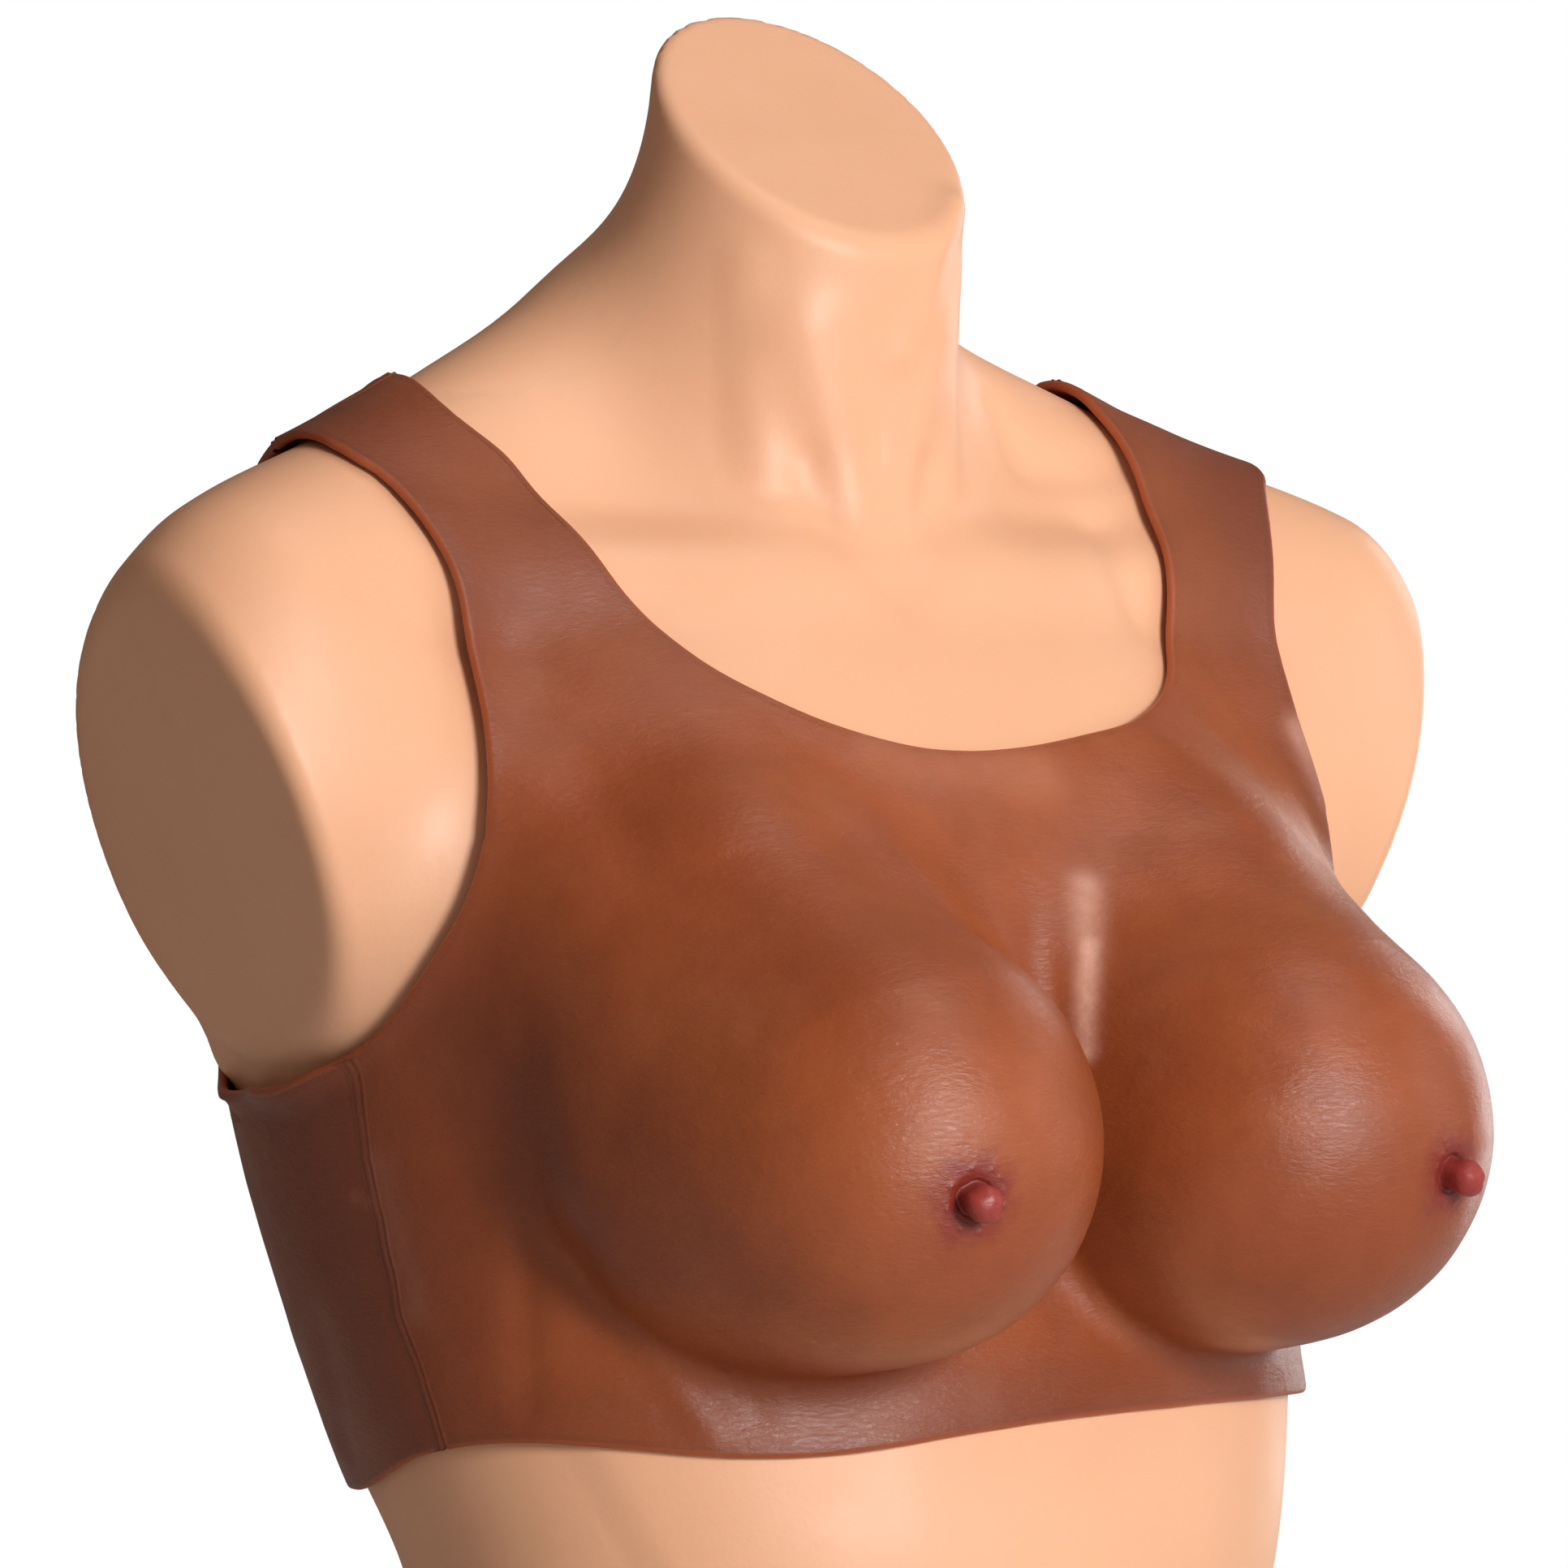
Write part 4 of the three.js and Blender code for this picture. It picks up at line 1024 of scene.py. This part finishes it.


# Painted highlights and pale patches on the silicone: end, end, radius, strength. The first two paint a
# highlight down the cleavage and the seventh a sheen along the left armhole's edge; the rest are paler
# patches.
SHEEN_AND_PALE_PATCHES = [
    ((21, -105, 322), (15, -114, 305), 4.2, 0.6),
    ((16, -113, 307), (6, -125, 280), 3.2, 1.0),
    ((-46, -110, 189), (-20, -115, 191), 6.0, 0.05),
    ((-144, -25, 250), (-139, -33, 214), 5.0, 0.10),
    ((-146, -14, 242), (-144, -32, 240), 1.6, 0.16),
    ((-140, 8, 206), (-134, -4, 176), 9.0, 0.07),
    ((134, -50, 362), (146, -53, 326), 4.5, 0.5),
    ((-112, -66, 300), (-96, -90, 312), 10.0, 0.14),
    ((-30, -78, 350), (20, -82, 348), 9.0, 0.16),
]


def bloom(p):
    """Strength of the painted highlights and pale patches at each point."""
    out = np.zeros(len(p))
    for a, b, radius, strength in SHEEN_AND_PALE_PATCHES:
        out = np.maximum(out, strength * bell(cone(*p.T, a, b, 0, 0), radius))
    return out


def vest_panels():
    """The skin's outer face on both sides of the seams, and the rolled edge round it."""
    def boxed(x, y, z):
        """The vest closed off outside its edges, so that no surface runs on past the search space."""
        return np.maximum.reduce([vest(x, y, z), 148 - z, z - 472, np.abs(x) - 184])

    points, quads = surface_net(boxed, VEST_LOW, VEST_HIGH, VEST_CELL)
    tris = triangles(points, quads)
    tris = tris[(np.abs(evaluate(vest, points)) < 0.3)[tris].all(1)]
    points, tris, cuts = clip(points, tris, edge_of(points) + SKIN / 2)
    runs = [(resample(points[run], closed, EDGE_SPACING, EDGE_SIGMA), closed)
            for run, closed in chains(cuts) if len(run) > 20]
    points = settle(vest, points, 0.5, 1)
    made = {"vest_front": Builder(), "vest_back": Builder()}
    for b, side in zip(made.values(), (1, -1)):
        p, t, _ = clip(points, tris, behind_seam(points) * side + PANEL_GAP)
        n = normal(vest, p)
        raised = lift(p, edge_of(p))
        smooth = vertex_normals(p + n * raised[:, None], t)
        b.add(p + n * (raised - nipple_sink(p))[:, None], t, smooth)
    for q, closed in runs:
        add_rolled_edge(made.values(), q, closed)
    return [b.object(name) for name, b in made.items()]


def edge_frame(q, closed):
    """At each point of an edge, the vest's normal and the way out across the edge."""
    n = normal(vest, q)
    ahead = np.roll(q, -1, axis=0) - np.roll(q, 1, axis=0)
    if not closed:
        ahead[0], ahead[-1] = q[1] - q[0], q[-1] - q[-2]
    t = unit(ahead)
    out = unit(np.cross(t, n))
    if np.median(edge_of(q + out) - edge_of(q - out)) < 0:
        out = -out
    return n, out


def add_rolled_edge(builders, q, closed):
    """The rounded edge of the skin and a short way along its inner face."""
    for _ in range(3):
        q = settle(vest, q, 0.5, 1)
        n, out = edge_frame(q, closed)
        q = q - out * np.clip(edge_of(q) + SKIN / 2, -0.5, 0.5)[:, None]
    q = settle(vest, q, 0.5, 1)
    n, out = edge_frame(q, closed)
    base = q + n * lift(q, edge_of(q))[:, None]
    r = SKIN / 2
    profile = [(-1.2, 0.02), (0, 0.0)]
    profile += [(r * math.sin(a), -r + r * math.cos(a)) for a in np.linspace(0, math.pi, 9)[1:]]
    profile += [(-3, -SKIN), (-8, -SKIN + 0.3)]
    points = np.vstack([base + out * u + n * v for u, v in profile])
    m = len(q)
    faces, normals = faced(points, grid_faces(len(profile), m, closed), n, slice(m, 2 * m))
    normals[:m] = n
    # Painted glow of light through the thin edge, strongest round the middle of its curl.
    rim = np.repeat([0, 0.1, 0.4, 0.8, 1, 1, 1, 1, 0.8, 0.6, 0.2, 0], m)
    for b, side in zip(builders, (1, -1)):
        s = behind_seam(points) * side + PANEL_GAP
        inside = (s[faces] <= EDGE_OVERLAP).all(1)
        used, back = np.unique(faces[inside], return_inverse=True)
        if len(used):
            b.add(points[used], back.reshape(-1, 4), normals[used], rim[used])


def strip_frame(q):
    """A line on the vest without its ends past the edges, its normals and the ways across it."""
    q = q[edge_of(q) < -0.2]
    n = normal(vest, q)
    return q, n, unit(np.cross(n, unit(np.gradient(q, axis=0))))


def strip(name, rows, n, rim=0.0):
    """The rows of points as a sheet that faces along n."""
    points = np.vstack(rows)
    faces, _ = faced(points, grid_faces(len(rows), len(n), False), np.tile(n, (len(rows), 1)))
    return Builder().add(points, faces, rim=rim).object(name)


def side_seam(name, side):
    """The bonded seam under an arm: a raised band between two thin grooves, with painted shade in the
    grooves.
    """
    z = np.arange(150, 300, 1.5)
    y = np.interp(z, VEST_SPLIT[:, 1], VEST_SPLIT[:, 0])
    q = np.stack([np.full(len(z), 170.0) * side, y, z], 1)
    q, n, across = strip_frame(drop(vest, q, (-side, 0, 0), 40))
    widths = np.array([-4.2, -2.4, -1.9, -1.4, -1.0, -0.4, 0.2, 0.8, 1.2, 1.7, 2.3, 4.0])
    heights = np.array([-0.2, 0.12, 0.14, 0.03, 0.12, 0.2, 0.22, 0.14, 0.04, 0.14, 0.12, -0.2])
    # Painted shade along the two grooves, row by row.
    dark = np.array([0, 0, 0.4, 1, 0.4, 0, 0, 0.2, 0.8, 0.3, 0, 0])
    along = np.linspace(0, 1, len(q))
    wobble = 0.35 * hash_noise(q, 7, 2)
    rows = []
    for w, h in zip(widths, heights):
        strength = 0.75 + 0.5 * hash_noise(q + across * w, 9, 4)
        p = q + across * (w * (0.85 + 0.15 * along) + wobble)[:, None]
        p = settle(vest, p, 1.0, 2)
        rows.append(p + n * (lift(p, edge_of(p)) + h * (strength if h > 0 else 1))[:, None])
    shade = np.concatenate([k * (0.75 + 0.25 * hash_noise(q, 6, 9)) for k in dark])
    return strip(name, rows, n, shade)


def shoulder_seam(name, side):
    """The bonded seam across a strap: two low beads."""
    x = np.arange(100, 160, 1.2) * side
    q = np.stack([x, np.full(len(x), 22.0), np.full(len(x), 470.0)], 1)
    q, n, across = strip_frame(drop(vest, q, (0, 0, -1), 60))
    widths = np.array([-2.6, -2.1, -1.7, -1.2, 0, 1.2, 1.7, 2.1, 2.6])
    heights = np.array([-0.25, 0.15, 0.4, 0.3, -0.05, 0.3, 0.4, 0.15, -0.25])
    rows = []
    for w, h in zip(widths, heights):
        p = settle(vest, q + across * w, 1.0, 2)
        rows.append(p + n * (lift(p, edge_of(p)) + h)[:, None])
    return strip(name, rows, n)


# Small bumps on the areola, mirrored on the other side: across, up.
BUMPS = [
    (-6.5, 5.4), (-7.9, 2.2), (-8.2, -1.6), (-4.2, 7.4), (-5.4, 8.9), (1.5, 8.0), (-7.0, -5.0),
    (6.9, 3.4), (7.4, -2.5), (3.2, -7.6), (-2.0, -8.4),
]
BUMP_HEIGHT = 0.42
# The skin dips by this much round the nub's foot.
NUB_DIMPLE = 0.9
# Areola and nub profiles: distance from the axis, height over the skin.
AREOLA = [(13.0, -0.5), (12.4, -0.02)] + [(r, 0.03) for r in np.linspace(11.8, 5.8, 22)]
NUB_PROFILE = [
    (5.3, -0.1), (4.9, -0.5), (4.4, -0.7), (3.95, -0.4), (3.8, 0.4), (4.0, 1.4), (4.4, 2.6), (4.7, 3.8),
    (4.75, 4.8), (4.55, 5.9), (4.05, 6.9), (3.3, 7.7), (2.35, 8.25), (1.3, 8.55), (0.5, 8.65),
    (0.02, 8.65),
]


def nipple(name, side):
    """The areola as a sheet on the skin, with the nub standing on it."""
    at, n = NIPPLE_AT[side]
    right = unit(np.cross([0, 0, 1.0], -n)[None])[0]
    up = np.cross(-right, -n)
    if up[2] < 0:
        up = -up
    count = 72
    c, s = circle(count)
    rows = []
    for r, h in AREOLA:
        p = at + np.outer(c * r, right) + np.outer(s * r, up)
        p = settle(vest, p, 1.0, 3)
        bump = np.zeros(count)
        for bx, by in BUMPS:
            d2 = (c * r + bx * side) ** 2 + (s * r - by) ** 2
            bump += BUMP_HEIGHT * np.exp(-d2 / 0.55)
        dimple = NUB_DIMPLE * bell(r - 4.6, 1.6)
        rows.append(p + n * (h + unevenness(p) + bump - dimple)[:, None])
    a = np.arange(count) * (2 * math.pi / count)
    uneven = 1 + 0.05 * np.sin(3 * a + 1.0) + 0.03 * np.sin(5 * a)
    for r, h in NUB_PROFILE:
        p = at + np.outer(c * r * uneven, right) + np.outer(s * r * uneven, up)
        rows.append(p + n * (h - NUB_DIMPLE * max(0, 1 - h / 2.5)))
    points = np.vstack(rows)
    grain = 0.10 * hash_noise(points, 1.3, 6) + 0.08 * hash_noise(points, 2.6, 7)
    grain *= np.linalg.norm(points - at, axis=1) < 10
    points = points + unit(points - (at + n * 2)) * grain[:, None]
    faces, normals = faced(points, grid_faces(len(rows), count, True), n)
    # The outer rows take on the vest's normals, so the sheet's edge doesn't show.
    outer, shape = slice(0, 8 * count), np.clip((np.arange(8) - 2) / 5.0, 0, 1)
    fade = np.repeat(shape, count)[:, None]
    normals[outer] = unit(normals[outer] * fade + normal(vest, points[outer]) * (1 - fade))
    pink = np.repeat([0.0] * (len(AREOLA) + 3) + [0.3, 0.6] + [1.0] * (len(NUB_PROFILE) - 5), count)
    return Builder().add(points, faces, normals, pink).object(name)


# The gel's outline seen from the front: middle across and up, half width, half height.
POCKET = (67, 264, 55, 61)


def pocket(side):
    """The gel fills the room between the vest's skin and the body."""
    across, up, wide, high = POCKET

    def field(x, y, z):
        outline = (np.hypot((x * side - across) / wide, (z - up) / high) - 1) * wide
        d = smax(vest(x, y, z) + 3.3, outline, 4)
        return smax(d, -(body(x, y, z) - 2.4), 2)
    return field


def gel_fill(name, side):
    x0, x1 = sorted((5 * side, 130 * side))
    p, q = surface_net(pocket(side), (x0 - 6, -200, 190), (x1 + 6, -20, 340), 4.0)
    return Builder().add(p, q, normal(pocket(side), p)).object(name)


def gel_backing(name, side):
    """A thin skin behind the gel: two sheets over the body, joined round their edge."""
    rings, count = 14, 64
    across, up, wide, high = POCKET
    c, s = (np.tile(v, rings) for v in circle(count))
    size = np.repeat(1 - np.arange(rings) / (rings - 1) * 0.999, count)
    x, z = (wide - 2) * size * c, (high - 2) * size * s
    q = np.stack([side * (across + x), np.full(len(x), -150.0), up + z], 1)
    front, back = (drop(lambda *p: body(*p) - off, q, (0, 1, 0), 50, 4) for off in (1.9, 0.8))
    f = grid_faces(rings, count, True)[:, ::side]
    b = Builder().add(front, f).add(back, f[:, ::-1])
    return b.add(np.vstack([front[:count], back[:count]]), grid_faces(2, count, True)).object(name)


# ---- Build ----

def place(obj, replaced, material):
    obj.data.materials.append(material)
    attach(obj, "torso")
    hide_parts(replaced)


PLASTIC = torso_plastic()
SILICONE = silicone("vest_silicone")
NUB = silicone("nipple_silicone", NUB_PINK, 0.85)
# The seam beads carry painted shade in their grooves.
SEAM = silicone("seam_silicone", SEAM_GROOVE_SHADE, 0.8)
GEL = gel()

for obj, replaced in zip(torso_halves(), ("torso_front_shell", "torso_back_shell")):
    place(obj, replaced, PLASTIC)
for obj, replaced in zip(vest_panels(), ("vest_front_panel", "vest_back_panel")):
    place(obj, replaced, SILICONE)
for label, side in (("left", 1), ("right", -1)):
    place(side_seam(f"side_bead_{label}", side), f"side_seam_{label}", SEAM)
    bead = shoulder_seam(f"shoulder_bead_{label}", side)
    place(bead, f"shoulder_seam_{label}", SILICONE)
    place(nipple(f"areola_{label}", side), f"nipple_{label}", NUB)
    place(gel_fill(f"gel_{label}", side), f"gel_fill_{label}", GEL)
    place(gel_backing(f"backing_{label}", side), f"gel_backing_{label}", SILICONE)

STEEL = metal("zinc_steel", (0.55, 0.56, 0.57), 0.3)
BRASS = metal("turned_brass", (0.62, 0.46, 0.2), 0.28)
FINISH = {"base_plate": board(), "clamp_pad": BRASS, "clamp_knob": black_plastic()}
# The CAD's own meshes get a material and a small bevel.
for name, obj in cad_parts.items():
    if obj.hide_render:
        continue
    obj.data.materials.clear()
    obj.data.materials.append(FINISH.get(name, STEEL))
    bevel = obj.modifiers.new("soft_edges", "BEVEL")
    bevel.width = 0.0003
    bevel.segments = 2
    bevel.limit_method = "ANGLE"
    bevel.angle_limit = math.radians(40)

# ---- Stage ----

world = bpy.data.worlds.new("studio")
bpy.context.scene.world = world
world.use_nodes = True
WORLD_LEVEL, WORLD_TINT = 0.195, (1.0, 0.78, 0.64, 1)
# The world is plain white to the camera, and dimmer and warmer as a light.
wt = world.node_tree
background = wt.nodes["Background"]
ray = wt.nodes.new("ShaderNodeLightPath")
for kind, slots, output, target, values in (
        ("FLOAT", (2, 3), 0, "Strength", (WORLD_LEVEL, 1.0)),
        ("RGBA", (6, 7), 2, "Color", (WORLD_TINT, (1, 1, 1, 1)))):
    choice = wt.nodes.new("ShaderNodeMix")
    choice.data_type = kind
    wt.links.new(ray.outputs["Is Camera Ray"], choice.inputs[0])
    for index, value in zip(slots, values):
        choice.inputs[index].default_value = value
    wt.links.new(choice.outputs[output], background.inputs[target])


FLOOR_GAP = 0.0001


def floor():
    """A wide disc, open under the torso's rim and clear from below, so the base can be looked into."""
    count = 160
    c, s = circle(count)
    rows = [row_frame(base_outline(3.0, count))]
    rows += [np.stack([c * r, s * r, np.zeros(count)], 1) for r in (0.5, 1.2, 2.5, 5, 9)]
    mesh = bpy.data.meshes.new("floor")
    mesh.from_pydata(np.vstack(rows).tolist(), [], grid_faces(len(rows), count, True)[:, ::-1].tolist())
    made = new_object("floor", mesh)
    g = Graph("pale_floor")
    path = g.node("ShaderNodeLightPath").outputs["Is Camera Ray"]
    tone = g.mix(g.noise(6, 3), (0.86, 0.86, 0.86), (0.82, 0.82, 0.82))
    g.set(Base_Color=g.mix(path, (0.6, 0.6, 0.6), tone), Roughness=0.6)
    g.set(Normal=g.bump(g.noise(120, 3), 0.05, 0.001))
    far = g.ramp(g.distance((0, 0, 0)), 0.45, 1.25)
    behind = g.node("ShaderNodeNewGeometry").outputs["Backfacing"]
    shader = g.bsdf.outputs[0]
    for where, other in ((far, "ShaderNodeEmission"), (behind, "ShaderNodeBsdfTransparent")):
        parts = g.math("MULTIPLY", where, path), shader, g.node(other).outputs[0]
        shader = g.node("ShaderNodeMixShader", dict(enumerate(parts))).outputs[0]
    g.link(shader, g.tree.nodes["Material Output"].inputs["Surface"])
    mesh.materials.append(g.mat)
    made.location.z = -FLOOR_GAP
    return made


floor()

LAMP_TARGET = Vector((0.0, 0.017, 0.300))


def lamp(name, azimuth, elevation, distance, size, power):
    """A soft box on the side the azimuth names: 0 is in front of the chest, 90 on its left."""
    light = bpy.data.lights.new(name, "AREA")
    light.shape = "RECTANGLE"
    light.size, light.size_y = size
    light.energy = power
    made = new_object(name, light)
    a, e = math.radians(azimuth), math.radians(elevation)
    away = Vector((math.sin(a) * math.cos(e), -math.cos(a) * math.cos(e), math.sin(e)))
    made.location = LAMP_TARGET + away * distance
    made.rotation_euler = away.to_track_quat("Z", "Y").to_euler()
    made.visible_camera = False


lamp("key", -4, 13, 1.9, (0.5, 0.56), 27)
lamp("fill", 62, 14, 1.9, (1.0, 1.2), 4.8)
lamp("rim", 110, 0, 1.3, (0.18, 1.4), 4.6)
lamp("top", 30, 66, 1.7, (0.9, 0.9), 5.2)

camera_data = bpy.data.cameras.new("camera")
camera = new_object("camera", camera_data)
camera_data.sensor_width = 36
camera_data.lens = 190.16
camera_data.clip_end = 100
# Place, direction and lens were fitted to the photograph's outlines.
camera.location = (-1.26138, -1.78440, 0.36143)
AIM = Vector((0.56892, 0.82237, -0.00636))
camera.rotation_mode = "QUATERNION"
camera.rotation_quaternion = AIM.to_track_quat("-Z", "Y")
bpy.context.scene.camera = camera
bpy.context.scene.view_settings.view_transform = "Standard"
